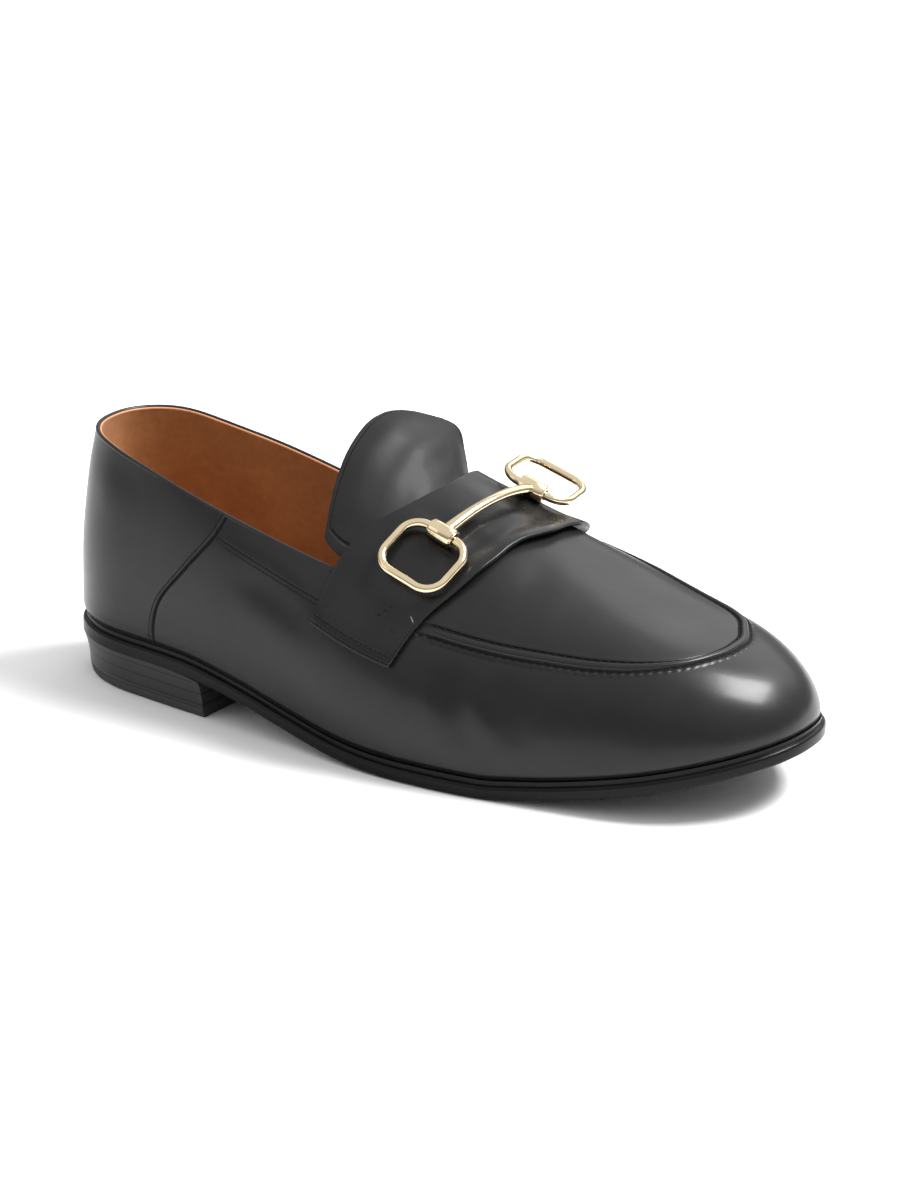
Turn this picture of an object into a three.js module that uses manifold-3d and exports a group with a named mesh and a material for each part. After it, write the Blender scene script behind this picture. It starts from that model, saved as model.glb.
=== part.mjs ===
// Loafer with an apron toe, a saddle and a metal bar, right shoe, empty and unbent.
// Millimetres. +X points to the toe, +Y to the medial side, +Z up.
// The origin is the middle of the flat bottom of the heel.
import * as THREE from "three";
import Manifold from "manifold-3d";

const wasm = await Manifold();
wasm.setup();

// Driving sizes of the shoe
const LENGTH = 289;
const BALL_WIDTH = 100;
const INSTEP = 78;
const BACK_HEIGHT = 91;
const HEEL_HEIGHT = 15;
const TOE_SPRING = 20;

// Sole and heel
const HEEL_CENTRE = 34;
const SOLE_THICK = 6.5;
const SOLE_GROOVE = 1.8;
const GROOVE_DEEP = 1.5;
const SOLE_ROUND = 1.1;
const BREAST_AT = 0.252;
const BREAST_SKEW = 0.02;
const HEEL_SET_IN = 0.3;
const HEEL_TAPER = 2.2;
const LIFT_THICK = 3.2;
const LIFT_CHAMFER = 0.5;

// Upper and the pieces on it
const WALL = 2.0;
const JOINT = 0.3;
const SADDLE_CLEAR = 0.45;
const SADDLE_THICK = 1.6;
const TONGUE_THICK = 2.0;
const INSOLE_THICK = 3.5;
const INSOLE_PLAY = 0.3;
const INSOLE_ROUND = 0.7;
const SEAM_HIGH = 1.2;
const SEAM_WIDE = 3.4;
const SEAM_START = 0.012;
const SEAM_FADE = 0.02;

// Ornament
const LINK_LONG = 25;
const LINK_WIDE = 22;
const LINK_CORNER = 7;
const WIRE = 3.1;
const SLEEVE_LONG = 10;
const SLEEVE_WIDE = 6.8;
const SLEEVE_BORE = 3.9;
const SLEEVE_NECK = 0.42;
const SLEEVE_END = 0.84;
const BAR_WIDE = 4.4;
const BAR_WAIST = 0.75;
const BAR_BOW = 4.4;

// Where the rounding of the two ends of the outline begins, and its power
const HEEL_END = { upTo: 0.12, power: 2.3 };
const TOE_END = { from: 0.8, power: 2.2 };

// Where the ribs of the upper gather, shares of length
const GATHER = { back: 0.13, front: 0.85, soft: 8 };

// The opening of the upper ends here, under the saddle
const THROAT = 0.525;
const THROAT_BLEND = 0.035;
const SADDLE_END = 0.61;

// Plan outline. at: share of length. centre, lateral, medial: share of ball width.
// feather: how far the foot of the upper is set in, share of the wall.
const OUTLINE = [
  { at: 0.0, centre: 0.0, lateral: 0.275, medial: 0.305, feather: 0.25 },
  { at: 0.1, centre: -0.008, lateral: 0.322, medial: 0.325, feather: 0.25 },
  { at: 0.22, centre: -0.022, lateral: 0.375, medial: 0.36, feather: 0.3 },
  { at: 0.36, centre: -0.052, lateral: 0.41, medial: 0.375, feather: 0.6 },
  { at: 0.5, centre: -0.068, lateral: 0.47, medial: 0.405, feather: 0.8 },
  { at: 0.62, centre: -0.045, lateral: 0.508, medial: 0.465, feather: 0.85 },
  { at: 0.72, centre: -0.02, lateral: 0.502, medial: 0.5, feather: 0.85 },
  { at: 0.82, centre: -0.008, lateral: 0.475, medial: 0.48, feather: 0.85 },
  { at: 0.92, centre: -0.002, lateral: 0.45, medial: 0.445, feather: 0.85 },
  { at: 1.0, centre: 0.0, lateral: 0.42, medial: 0.4, feather: 0.85 },
];

// Bottom of the outsole. arch: share of heel height. spring: share of toe spring.
const BOTTOM = [
  { at: 0.0, arch: 1.02, spring: 0 },
  { at: 0.12, arch: 1.03, spring: 0 },
  { at: 0.22, arch: 1.0, spring: 0 },
  { at: 0.3, arch: 0.74, spring: 0 },
  { at: 0.38, arch: 0.38, spring: 0 },
  { at: 0.46, arch: 0.1, spring: 0 },
  { at: 0.54, arch: 0, spring: 0 },
  { at: 0.66, arch: 0, spring: 0 },
  { at: 0.7, arch: 0, spring: 0.06 },
  { at: 0.76, arch: 0, spring: 0.19 },
  { at: 0.84, arch: 0, spring: 0.43 },
  { at: 0.92, arch: 0, spring: 0.71 },
  { at: 1.0, arch: 0, spring: 1.0 },
];

// Sections of the upper. crest: height of the ridge line, share of instep.
// shift: how far the ridge lies from the centre line, share of ball width.
// lateral, medial: how full each side is, a small power being square.
// belly: how far the side stands out over the sole.
const SECTIONS = [
  { at: 0.0, crest: 1.85, shift: 0.0, lateral: 1.08, medial: 1.08, belly: 0.02 },
  { at: 0.2, crest: 1.72, shift: 0.0, lateral: 1.03, medial: 1.0, belly: 0.05 },
  { at: 0.32, crest: 1.5, shift: 0.06, lateral: 0.98, medial: 0.85, belly: 0.08 },
  { at: 0.42, crest: 1.29, shift: 0.13, lateral: 0.9, medial: 0.7, belly: 0.08 },
  { at: 0.5, crest: 1.13, shift: 0.17, lateral: 0.84, medial: 0.52, belly: 0.06 },
  { at: 0.58, crest: 1.01, shift: 0.17, lateral: 0.78, medial: 0.46, belly: 0.04 },
  { at: 0.68, crest: 0.87, shift: 0.13, lateral: 0.66, medial: 0.46, belly: 0.02 },
  { at: 0.8, crest: 0.73, shift: 0.05, lateral: 0.52, medial: 0.48, belly: 0.0 },
  { at: 0.9, crest: 0.65, shift: 0.01, lateral: 0.5, medial: 0.5, belly: 0.0 },
  { at: 1.0, crest: 0.58, shift: 0.0, lateral: 0.55, medial: 0.55, belly: 0.0 },
];

// Top line of the quarters, share of the back height
const TOP_LINE = [
  { at: 0.0, height: 1.0 },
  { at: 0.08, height: 0.98 },
  { at: 0.18, height: 0.915 },
  { at: 0.28, height: 0.84 },
  { at: 0.38, height: 0.765 },
  { at: 0.46, height: 0.715 },
  { at: 0.56, height: 0.67 },
];

// Apron seam, how far up each side of the section it runs
const APRON = [
  { at: 0.56, lateral: 0.43, medial: 0.6 },
  { at: 0.61, lateral: 0.448, medial: 0.68 },
  { at: 0.66, lateral: 0.475, medial: 0.725 },
  { at: 0.71, lateral: 0.508, medial: 0.75 },
  { at: 0.77, lateral: 0.565, medial: 0.77 },
  { at: 0.82, lateral: 0.64, medial: 0.795 },
  { at: 0.88, lateral: 0.76, medial: 0.84 },
  { at: 0.94, lateral: 0.86, medial: 0.895 },
  { at: 1.0, lateral: 0.915, medial: 0.915 },
];

// Saddle. up: how far up the side. The other columns: shares of length.
const SADDLE = [
  { up: 0.277, rearLateral: 0.421, frontLateral: 0.536, rearMedial: 0.425, frontMedial: 0.545 },
  { up: 0.44, rearLateral: 0.437, frontLateral: 0.563, rearMedial: 0.443, frontMedial: 0.58 },
  { up: 0.6, rearLateral: 0.458, frontLateral: 0.594, rearMedial: 0.468, frontMedial: 0.614 },
  { up: 0.75, rearLateral: 0.487, frontLateral: 0.612, rearMedial: 0.496, frontMedial: 0.638 },
  { up: 0.9, rearLateral: 0.504, frontLateral: 0.622, rearMedial: 0.508, frontMedial: 0.642 },
  { up: 1.0, rearLateral: 0.508, frontLateral: 0.636, rearMedial: 0.508, frontMedial: 0.636 },
];

// Tongue, from its hidden front to its free end. Each row is an arch through
// three points: lateral edge, crown, medial edge.
// x: share of length from the heel. y: share of ball width. z: share of instep.
const TONGUE = [
  { lx: 0.552, ly: -0.32, lz: 0.8, cx: 0.558, cy: 0.1, cz: 0.985, mx: 0.552, my: 0.2, mz: 0.93 },
  { lx: 0.51, ly: -0.34, lz: 0.82, cx: 0.519, cy: 0.11, cz: 1.055, mx: 0.512, my: 0.192, mz: 0.95 },
  { lx: 0.47, ly: -0.35, lz: 0.85, cx: 0.474, cy: 0.14, cz: 1.23, mx: 0.475, my: 0.295, mz: 1.15 },
  { lx: 0.43, ly: -0.36, lz: 0.9, cx: 0.43, cy: 0.15, cz: 1.34, mx: 0.456, my: 0.335, mz: 1.245 },
  { lx: 0.4, ly: -0.325, lz: 0.975, cx: 0.393, cy: 0.11, cz: 1.35, mx: 0.43, my: 0.29, mz: 1.31 },
];
const TONGUE_ARCH = 2.2;

// Ornament: where its two sleeves lie on the last, and by how many degrees
// the link in each stands off the leather
const SLEEVE_LATERAL = { at: 0.547, up: 0.72, tilt: 0 };
const SLEEVE_MEDIAL = { at: 0.576, up: 0.93, tilt: 24 };

// How finely the forms are cut into flats
const HEEL_COLUMNS = 16;
const SADDLE_COLUMNS = 8;
const BALL_COLUMNS = 7;
const TOE_COLUMNS = 12;
const SIDE_ROWS = 8;
const APRON_ROWS = 5;
const PATCH_ROWS = 12;
const PATCH_COLUMNS = 24;
const ROUND = 12;
const CORNER_STEPS = 5;
const BAR_STEPS = 10;

// Relief of the apron seam. out: distance from the seam line, share of half
// the seam's width. high: share of its height.
const SEAM_RELIEF = [
  { out: 0.7, high: 0.9 },
  { out: 1.4, high: -0.25 },
  { out: 2.0, high: 0 },
];
const WALL_EASE = 1.7;
const SEAM_SHARE = 0.2;

// Distance along the last over which a direction is measured, share of length
const SMALL_STEP = 0.004;
const FIRST_STATION = 0.0005;

const LATERAL = -1;
const MEDIAL = 1;

// A smooth line through one column of a table
function smoothColumn(rows, column, key = "at") {
  const slope = rows.map((row, k) => {
    const before = rows[Math.max(k - 1, 0)];
    const after = rows[Math.min(k + 1, rows.length - 1)];
    return (after[column] - before[column]) / (after[key] - before[key]);
  });
  return (at) => {
    const last = rows.length - 1;
    if (at <= rows[0][key]) return rows[0][column];
    if (at >= rows[last][key]) return rows[last][column];
    let k = 0;
    while (rows[k + 1][key] < at) k += 1;
    const run = rows[k + 1][key] - rows[k][key];
    const s = (at - rows[k][key]) / run;
    const rise = s * s * (3 - 2 * s);
    const start = run * slope[k] * s * (1 - s) * (1 - s);
    const finish = run * slope[k + 1] * s * s * (s - 1);
    return rows[k][column] * (1 - rise) + rows[k + 1][column] * rise + start + finish;
  };
}

const centreAt = smoothColumn(OUTLINE, "centre");
const halfAt = {
  [LATERAL]: smoothColumn(OUTLINE, "lateral"),
  [MEDIAL]: smoothColumn(OUTLINE, "medial"),
};
const featherAt = smoothColumn(OUTLINE, "feather");
const archAt = smoothColumn(BOTTOM, "arch");
const springAt = smoothColumn(BOTTOM, "spring");
const crestAt = smoothColumn(SECTIONS, "crest");
const shiftAt = smoothColumn(SECTIONS, "shift");
const bellyAt = smoothColumn(SECTIONS, "belly");
const fullAt = {
  [LATERAL]: smoothColumn(SECTIONS, "lateral"),
  [MEDIAL]: smoothColumn(SECTIONS, "medial"),
};
const topLineAt = smoothColumn(TOP_LINE, "height");
const apronAt = {
  [LATERAL]: smoothColumn(APRON, "lateral"),
  [MEDIAL]: smoothColumn(APRON, "medial"),
};
const saddleRear = {
  [LATERAL]: smoothColumn(SADDLE, "rearLateral", "up"),
  [MEDIAL]: smoothColumn(SADDLE, "rearMedial", "up"),
};
const saddleFront = {
  [LATERAL]: smoothColumn(SADDLE, "frontLateral", "up"),
  [MEDIAL]: smoothColumn(SADDLE, "frontMedial", "up"),
};

function alongX(at) {
  return at * LENGTH - HEEL_CENTRE;
}

function shareOf(x) {
  return (x + HEEL_CENTRE) / LENGTH;
}

function ease(value) {
  const s = Math.min(Math.max(value, 0), 1);
  return s * s * (3 - 2 * s);
}

// Underside of the outsole; it lies level where the ball touches the ground
function soleBottom(at) {
  return Math.max(HEEL_HEIGHT * archAt(at) + TOE_SPRING * springAt(at), 0);
}

function soleTop(at) {
  return soleBottom(at) + SOLE_THICK;
}

// Rounding of the heel and toe ends of the outline
function endShare(at) {
  let share = 1;
  if (at < HEEL_END.upTo) {
    const s = 1 - at / HEEL_END.upTo;
    share = Math.pow(Math.max(1 - Math.pow(s, HEEL_END.power), 0), 1 / HEEL_END.power);
  }
  if (at > TOE_END.from) {
    const s = (at - TOE_END.from) / (1 - TOE_END.from);
    share = Math.pow(Math.max(1 - Math.pow(s, TOE_END.power), 0), 1 / TOE_END.power);
  }
  return share;
}

function outlinePoint(at, side) {
  const half = BALL_WIDTH * halfAt[side](at) * endShare(at);
  return [alongX(at), BALL_WIDTH * centreAt(at) + side * half];
}

// Point of the outline, moved inward square to the edge
function edgePoint(at, side, inset) {
  const step = 1e-4;
  const point = outlinePoint(at, side);
  let normal = [at < 0.5 ? -1 : 1, 0];
  if (at > step / 100 && at < 1 - step / 100) {
    const from = outlinePoint(Math.max(at - step, 0), side);
    const to = outlinePoint(Math.min(at + step, 1), side);
    const run = Math.hypot(to[0] - from[0], to[1] - from[1]);
    normal = [(-side * (to[1] - from[1])) / run, (side * (to[0] - from[0])) / run];
  }
  return [point[0] - normal[0] * inset, point[1] - normal[1] * inset];
}

function softMax(a, b, soft) {
  return 0.5 * (a + b + Math.hypot(a - b, soft));
}

// The ridge of the last over one station
function ridgePoint(at) {
  const back = softMax(alongX(at), alongX(GATHER.back), GATHER.soft);
  const x = -softMax(-back, -alongX(GATHER.front), GATHER.soft);
  const share = shareOf(x);
  return [x, BALL_WIDTH * (centreAt(share) + shiftAt(share))];
}

// Outer face of the upper: one rib per station, from the sole up to the ridge
function ribPoint(at, side, up) {
  const foot = edgePoint(at, side, WALL * featherAt(at));
  const ridge = ridgePoint(at);
  const turn = (Math.min(Math.max(up, 0), 1) * Math.PI) / 2;
  const belly = (bellyAt(at) * 27 * up * (1 - up) * (1 - up)) / 4;
  const reach = Math.pow(Math.max(Math.cos(turn), 0), fullAt[side](at)) * (1 + belly);
  const x = ridge[0] + (foot[0] - ridge[0]) * reach;
  const y = ridge[1] + (foot[1] - ridge[1]) * reach;
  const base = soleTop(at) + JOINT;
  const crest = INSTEP * crestAt(shareOf(x));
  return [x, y, base + (crest - base) * Math.sin(turn)];
}

function subtract(a, b) {
  return [a[0] - b[0], a[1] - b[1], a[2] - b[2]];
}

function cross(a, b) {
  return [a[1] * b[2] - a[2] * b[1], a[2] * b[0] - a[0] * b[2], a[0] * b[1] - a[1] * b[0]];
}

function unit(a) {
  const long = Math.hypot(...a) || 1;
  return a.map((value) => value / long);
}

function travel(point, direction, distance) {
  return point.map((value, k) => value + direction[k] * distance);
}

function between(a, b, s) {
  return a.map((value, k) => value + (b[k] - value) * s);
}

// Outward direction of the last at one place
function lastNormal(at, side, up) {
  const step = SMALL_STEP;
  if (up > 1 - step) return [0, 0, 1];
  const low = Math.max(at - step, FIRST_STATION);
  const high = Math.min(at + step, 1 - FIRST_STATION);
  const along = subtract(ribPoint(high, side, up), ribPoint(low, side, up));
  const rise = subtract(ribPoint(at, side, up + step), ribPoint(at, side, Math.max(up - step, 0)));
  return unit(cross(along, rise)).map((value) => value * -side);
}

// Place on the last, lifted off it by a height
function lastPoint(at, side, up, lift) {
  const point = ribPoint(at, side, up);
  let normal = lastNormal(at, side, up);
  const atAnEnd = at <= FIRST_STATION || at >= 1 - FIRST_STATION;
  if (atAnEnd) normal = unit([normal[0], 0, normal[2]]);
  return travel(point, normal, lift);
}

// How far up a rib a height is reached
function upAtHeight(at, side, height) {
  let low = 0;
  let high = 1;
  for (let k = 0; k < 30; k += 1) {
    const middle = (low + high) / 2;
    if (ribPoint(at, side, middle)[2] < height) low = middle;
    else high = middle;
  }
  return (low + high) / 2;
}

// How far up a rib stands at a share of its reach to the ridge
function upAtReach(at, side, reach) {
  return (Math.acos(Math.pow(reach, 1 / fullAt[side](at))) * 2) / Math.PI;
}

function reachAt(at, side, up) {
  return Math.pow(Math.max(Math.cos((up * Math.PI) / 2), 0), fullAt[side](at));
}

// The line that parts the wall of the upper from its top: the collar behind
// the throat, the apron seam in front of it
function partingUp(at, side) {
  const collar = upAtHeight(Math.min(at, THROAT), side, BACK_HEIGHT * topLineAt(at));
  if (at <= THROAT) return collar;
  const blend = ease((at - THROAT) / THROAT_BLEND);
  return collar * (1 - blend) + apronAt[side](at) * blend;
}

// Collects points and flats; equal points are shared and empty flats dropped
class Body {
  constructor() {
    this.points = [];
    this.faces = [];
    this.known = new Map();
  }

  point(place) {
    const key = place.map((value) => Math.round(value * 1000)).join(" ");
    if (!this.known.has(key)) {
      this.known.set(key, this.points.length);
      this.points.push(place);
    }
    return this.known.get(key);
  }

  triangle(a, b, c) {
    if (a !== b && b !== c && c !== a) this.faces.push([a, b, c]);
  }

  quad(a, b, c, d) {
    this.triangle(a, b, c);
    this.triangle(a, c, d);
  }

  // A band between two rows of the same length
  band(low, high, closed = false) {
    const count = closed ? low.length : low.length - 1;
    for (let k = 0; k < count; k += 1) {
      const next = (k + 1) % low.length;
      this.quad(low[k], low[next], high[next], high[k]);
    }
  }

  mesh(name, look) {
    const geometry = new THREE.BufferGeometry();
    const index = this.volume() < 0 ? this.faces.map((f) => [f[0], f[2], f[1]]) : this.faces;
    geometry.setAttribute("position", new THREE.Float32BufferAttribute(this.points.flat(), 3));
    geometry.setIndex(index.flat());
    geometry.computeVertexNormals();
    const mesh = new THREE.Mesh(geometry, new THREE.MeshStandardMaterial(look));
    mesh.name = name;
    return mesh;
  }

  volume() {
    let sum = 0;
    for (const [a, b, c] of this.faces) {
      const turned = cross(this.points[b], this.points[c]);
      sum += this.points[a].reduce((total, value, k) => total + value * turned[k], 0);
    }
    return sum;
  }
}

// Stations from heel to toe, close together where the outline turns
function stationList() {
  const list = [];
  for (let k = 0; k < HEEL_COLUMNS; k += 1) {
    list.push(THROAT * (1 - Math.cos((k / HEEL_COLUMNS) * Math.PI * 0.5)));
  }
  for (let k = 0; k < SADDLE_COLUMNS; k += 1) {
    list.push(THROAT + ((SADDLE_END - THROAT) * k) / SADDLE_COLUMNS);
  }
  for (let k = 0; k < BALL_COLUMNS; k += 1) {
    list.push(SADDLE_END + ((TOE_END.from - SADDLE_END) * k) / BALL_COLUMNS);
  }
  for (let k = 0; k <= TOE_COLUMNS; k += 1) {
    list.push(TOE_END.from + (1 - TOE_END.from) * Math.sin((k / TOE_COLUMNS) * Math.PI * 0.5));
  }
  return list;
}

// A plate cut to the outline. Each profile row gives inset and height.
function plate(stations, profile, place) {
  const body = new Body();
  const rows = profile.map((row) => {
    const lateral = stations.map((s) => body.point(place(s, LATERAL, row)));
    const medial = stations.map((s) => body.point(place(s, MEDIAL, row)));
    return { lateral, medial };
  });
  const loops = rows.map((row) => [...row.lateral, ...[...row.medial].reverse()]);
  for (let k = 0; k + 1 < loops.length; k += 1) body.band(loops[k], loops[k + 1], true);
  const last = rows[rows.length - 1];
  body.band(rows[0].medial, rows[0].lateral);
  body.band(last.lateral, last.medial);
  return body;
}

function outsole() {
  const groove = SOLE_THICK - SOLE_GROOVE;
  const profile = [
    { inset: SOLE_ROUND, height: 0 },
    { inset: SOLE_ROUND * 0.3, height: SOLE_ROUND * 0.35 },
    { inset: 0, height: SOLE_ROUND },
    { inset: 0, height: groove - SOLE_ROUND * 0.5 },
    { inset: SOLE_ROUND * 0.5, height: groove },
    { inset: GROOVE_DEEP, height: groove },
    { inset: GROOVE_DEEP, height: SOLE_THICK },
  ];
  return plate(stationList(), profile, (at, side, row) => {
    const point = edgePoint(at, side, row.inset);
    return [point[0], point[1], soleBottom(at) + row.height];
  });
}

// Stations of the heel run to the breast, which is skewed. Each profile row
// gives its share of the taper, from 1 under the sole to 0 at the lift.
function heelPlate(profile) {
  const stations = [];
  for (let k = 0; k <= HEEL_COLUMNS; k += 1) {
    stations.push(1 - Math.cos((k / HEEL_COLUMNS) * Math.PI * 0.5));
  }
  return plate(stations, profile, (s, side, row) => {
    const at = s * (BREAST_AT + (side * BREAST_SKEW) / 2);
    const point = edgePoint(at, side, row.inset);
    return [point[0], point[1], row.height(at)];
  });
}

function heelRow(share, height) {
  return { inset: HEEL_SET_IN + HEEL_TAPER * (1 - share), height };
}

function heelBlock() {
  const under = (at) => soleBottom(at) - JOINT;
  const low = LIFT_THICK + JOINT;
  const shares = [0, 0.25, 0.5, 0.75, 1];
  const height = (share) => (at) => low + (under(at) - low) * share;
  return heelPlate(shares.map((share) => heelRow(share * share, height(share))));
}

function topLift() {
  return heelPlate([
    heelRow(-LIFT_CHAMFER / HEEL_TAPER, () => 0),
    heelRow(0, () => LIFT_CHAMFER),
    heelRow(0, () => LIFT_THICK),
  ]);
}

function insole() {
  const clear = WALL + JOINT + INSOLE_PLAY;
  const profile = [
    { inset: clear, height: JOINT },
    { inset: clear, height: INSOLE_THICK - INSOLE_ROUND },
    { inset: clear + INSOLE_ROUND, height: INSOLE_THICK },
  ];
  return plate(stationList(), profile, (at, side, row) => {
    const point = edgePoint(at, side, WALL * featherAt(at) + row.inset);
    return [point[0], point[1], soleTop(at) + row.height];
  });
}

// Height of the raised apron seam; it fades out under the saddle
function seamHeight(at, side) {
  const start = saddleFront[side](apronAt[side](at)) + SEAM_START;
  return SEAM_HIGH * ease((at - start) / SEAM_FADE);
}

// Rows of the wall: evenly spaced, then close together at the seam
function wallRows(at, side, raised) {
  const top = partingUp(at, side);
  const step = 0.05;
  const run = Math.hypot(...subtract(ribPoint(at, side, top), ribPoint(at, side, top - step)));
  const share = (SEAM_WIDE / 2 / run) * step;
  const rows = [];
  for (let k = 0; k < SIDE_ROWS; k += 1) {
    rows.push({ up: ((top - share * WALL_EASE) * k) / (SIDE_ROWS - 1), lift: 0 });
  }
  const lift = raised ? seamHeight(at, side) : 0;
  rows.push({ up: top - share, lift });
  rows.push({ up: top, lift });
  return rows;
}

function topRows(at, side, raised) {
  const edge = reachAt(at, side, partingUp(at, side));
  const ridge = ridgePoint(at);
  const foot = edgePoint(at, side, WALL * featherAt(at));
  const full = Math.hypot(foot[0] - ridge[0], foot[1] - ridge[1]);
  const width = Math.min(SEAM_WIDE / 2 / full, edge * SEAM_SHARE);
  const lift = raised ? seamHeight(at, side) : 0;
  const rows = SEAM_RELIEF.map((row) => {
    return { up: upAtReach(at, side, edge - width * row.out), lift: lift * row.high };
  });
  const inner = edge - width * SEAM_RELIEF.at(-1).out;
  for (let k = 1; k < APRON_ROWS; k += 1) {
    rows.push({ up: upAtReach(at, side, inner * (1 - k / APRON_ROWS)), lift: 0 });
  }
  rows.push({ up: 1, lift: 0 });
  return rows;
}

// One face of the upper, as rows of point numbers
function upperFace(body, depth, raised) {
  const stations = stationList();
  const columns = [];
  stations.forEach((at) => columns.push({ at, side: LATERAL }));
  stations.slice(1, -1).reverse().forEach((at) => columns.push({ at, side: MEDIAL }));
  const put = ({ at, side }, row) => body.point(lastPoint(at, side, row.up, row.lift - depth));
  const wall = columns.map((column) => {
    return wallRows(column.at, column.side, raised).map((row) => put(column, row));
  });
  const first = HEEL_COLUMNS;
  const final = columns.length - HEEL_COLUMNS;
  const top = columns.map((column, k) => {
    if (k < first || k > final) return null;
    return topRows(column.at, column.side, raised).map((row) => put(column, row));
  });
  return { wall, top, first, final };
}

function upper() {
  const body = new Body();
  const outer = upperFace(body, 0, true);
  const inner = upperFace(body, WALL, false);
  const count = outer.wall.length;
  for (let k = 0; k < count; k += 1) {
    const next = (k + 1) % count;
    body.band(outer.wall[k], outer.wall[next]);
    body.band(inner.wall[next], inner.wall[k]);
    body.quad(outer.wall[k][0], outer.wall[next][0], inner.wall[next][0], inner.wall[k][0]);
    const inTop = k >= outer.first && k < outer.final;
    const joined = (list) => [list.wall[k].at(-1), ...(list.top[k] ?? [])];
    const joinedNext = (list) => [list.wall[next].at(-1), ...(list.top[next] ?? [])];
    if (inTop) {
      body.band(joined(outer), joinedNext(outer));
      body.band(joinedNext(inner), joined(inner));
    } else {
      const rim = [outer.wall[k].at(-1), outer.wall[next].at(-1)];
      const lining = [inner.wall[k].at(-1), inner.wall[next].at(-1)];
      body.quad(rim[1], rim[0], lining[0], lining[1]);
    }
  }
  const throat = (list, k) => [list.wall[k].at(-1), ...list.top[k]];
  body.band(throat(inner, outer.first), throat(outer, outer.first));
  body.band(throat(outer, outer.final), throat(inner, outer.final));
  return body;
}

// A sheet between two faces that share their edges
function sheet(rows, columns, face) {
  const body = new Body();
  const lay = (level) => {
    const grid = [];
    for (let j = 0; j <= rows; j += 1) {
      const line = [];
      for (let k = 0; k <= columns; k += 1) line.push(body.point(face(j / rows, k / columns, level)));
      grid.push(line);
    }
    return grid;
  };
  const top = lay(1);
  const low = lay(0);
  for (let j = 0; j < rows; j += 1) {
    body.band(top[j], top[j + 1]);
    body.band(low[j + 1], low[j]);
  }
  body.band(low[0], top[0]);
  body.band(top[rows], low[rows]);
  const column = (grid, k) => grid.map((line) => line[k]);
  body.band(column(top, 0), column(low, 0));
  body.band(column(low, columns), column(top, columns));
  return body;
}

// The saddle: up the lateral side, over the ridge and down the medial side
function saddle() {
  const foot = SADDLE[0].up;
  return sheet(PATCH_ROWS, PATCH_COLUMNS, (along, across, level) => {
    const s = 2 * across - 1;
    const side = s < 0 ? LATERAL : MEDIAL;
    const far = reachAt(0.5, side, foot);
    const up = Math.abs(s) < 1e-6 ? 1 : upAtReach(0.5, side, Math.abs(s) * far);
    const at = saddleRear[side](up) * (1 - along) + saddleFront[side](up) * along;
    return lastPoint(at, side, up, SADDLE_CLEAR + level * SADDLE_THICK);
  });
}

const tongueRows = TONGUE.map((row, k) => ({ ...row, step: k / (TONGUE.length - 1) }));
const tongueColumn = Object.fromEntries(
  Object.keys(TONGUE[0]).map((name) => [name, smoothColumn(tongueRows, name, "step")]),
);

function tonguePoint(step, s) {
  const edge = s < 0 ? "l" : "m";
  const bend = Math.pow(Math.abs(s), TONGUE_ARCH);
  const mix = (axis, share) => {
    return tongueColumn[`c${axis}`](step) * (1 - share) + tongueColumn[edge + axis](step) * share;
  };
  return [alongX(mix("x", bend)), BALL_WIDTH * mix("y", Math.abs(s)), INSTEP * mix("z", bend)];
}

function tongue() {
  return sheet(PATCH_ROWS, PATCH_COLUMNS, (along, across, level) => {
    const s = 2 * across - 1;
    const point = tonguePoint(along, s);
    const step = 0.01;
    const run = subtract(
      tonguePoint(Math.min(along + step, 1), s),
      tonguePoint(Math.max(along - step, 0), s),
    );
    const span = subtract(
      tonguePoint(along, Math.min(s + step, 1)),
      tonguePoint(along, Math.max(s - step, -1)),
    );
    const normal = unit(cross(span, run));
    const outward = normal[2] < 0 ? normal.map((value) => -value) : normal;
    return travel(point, outward, (level - 1) * TONGUE_THICK);
  });
}

// Frame of a sleeve: along the shoe, across it, and off the last
function sleeveFrame(place, side) {
  const lift = SADDLE_CLEAR + SADDLE_THICK + JOINT + SLEEVE_WIDE / 2;
  const centre = lastPoint(place.at, side, place.up, lift);
  const ahead = lastPoint(place.at + 0.02, side, place.up, lift);
  const outward = lastPoint(place.at, side, place.up - 0.12, lift);
  const along = unit(subtract(ahead, centre));
  const normal = unit(cross(along, subtract(outward, centre))).map((value) => value * side);
  const across = unit(cross(normal, along)).map((value) => value * side);
  return { centre, along, across, normal, tilt: (place.tilt * Math.PI) / 180 };
}

// A round wire swept along a closed or open path
function wire(path, radius, closed) {
  const body = new Body();
  const rings = path.map((place, k) => {
    const before = path[closed ? (k + path.length - 1) % path.length : Math.max(k - 1, 0)];
    const after = path[closed ? (k + 1) % path.length : Math.min(k + 1, path.length - 1)];
    const ahead = unit(subtract(after.at, before.at));
    const side = unit(cross(ahead, place.normal));
    const rise = cross(side, ahead);
    const ring = [];
    for (let j = 0; j < ROUND; j += 1) {
      const turn = (j / ROUND) * 2 * Math.PI;
      const out = travel(place.at, side, radius(place) * Math.cos(turn));
      ring.push(body.point(travel(out, rise, radius(place) * Math.sin(turn))));
    }
    return ring;
  });
  const count = closed ? rings.length : rings.length - 1;
  for (let k = 0; k < count; k += 1) body.band(rings[k], rings[(k + 1) % rings.length], true);
  if (!closed) {
    const cap = (ring, place) => {
      const middle = body.point(place.at);
      ring.forEach((point, j) => body.triangle(middle, ring[(j + 1) % ring.length], point));
    };
    cap(rings[0], path[0]);
    cap([...rings.at(-1)].reverse(), path.at(-1));
  }
  return body;
}

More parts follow.
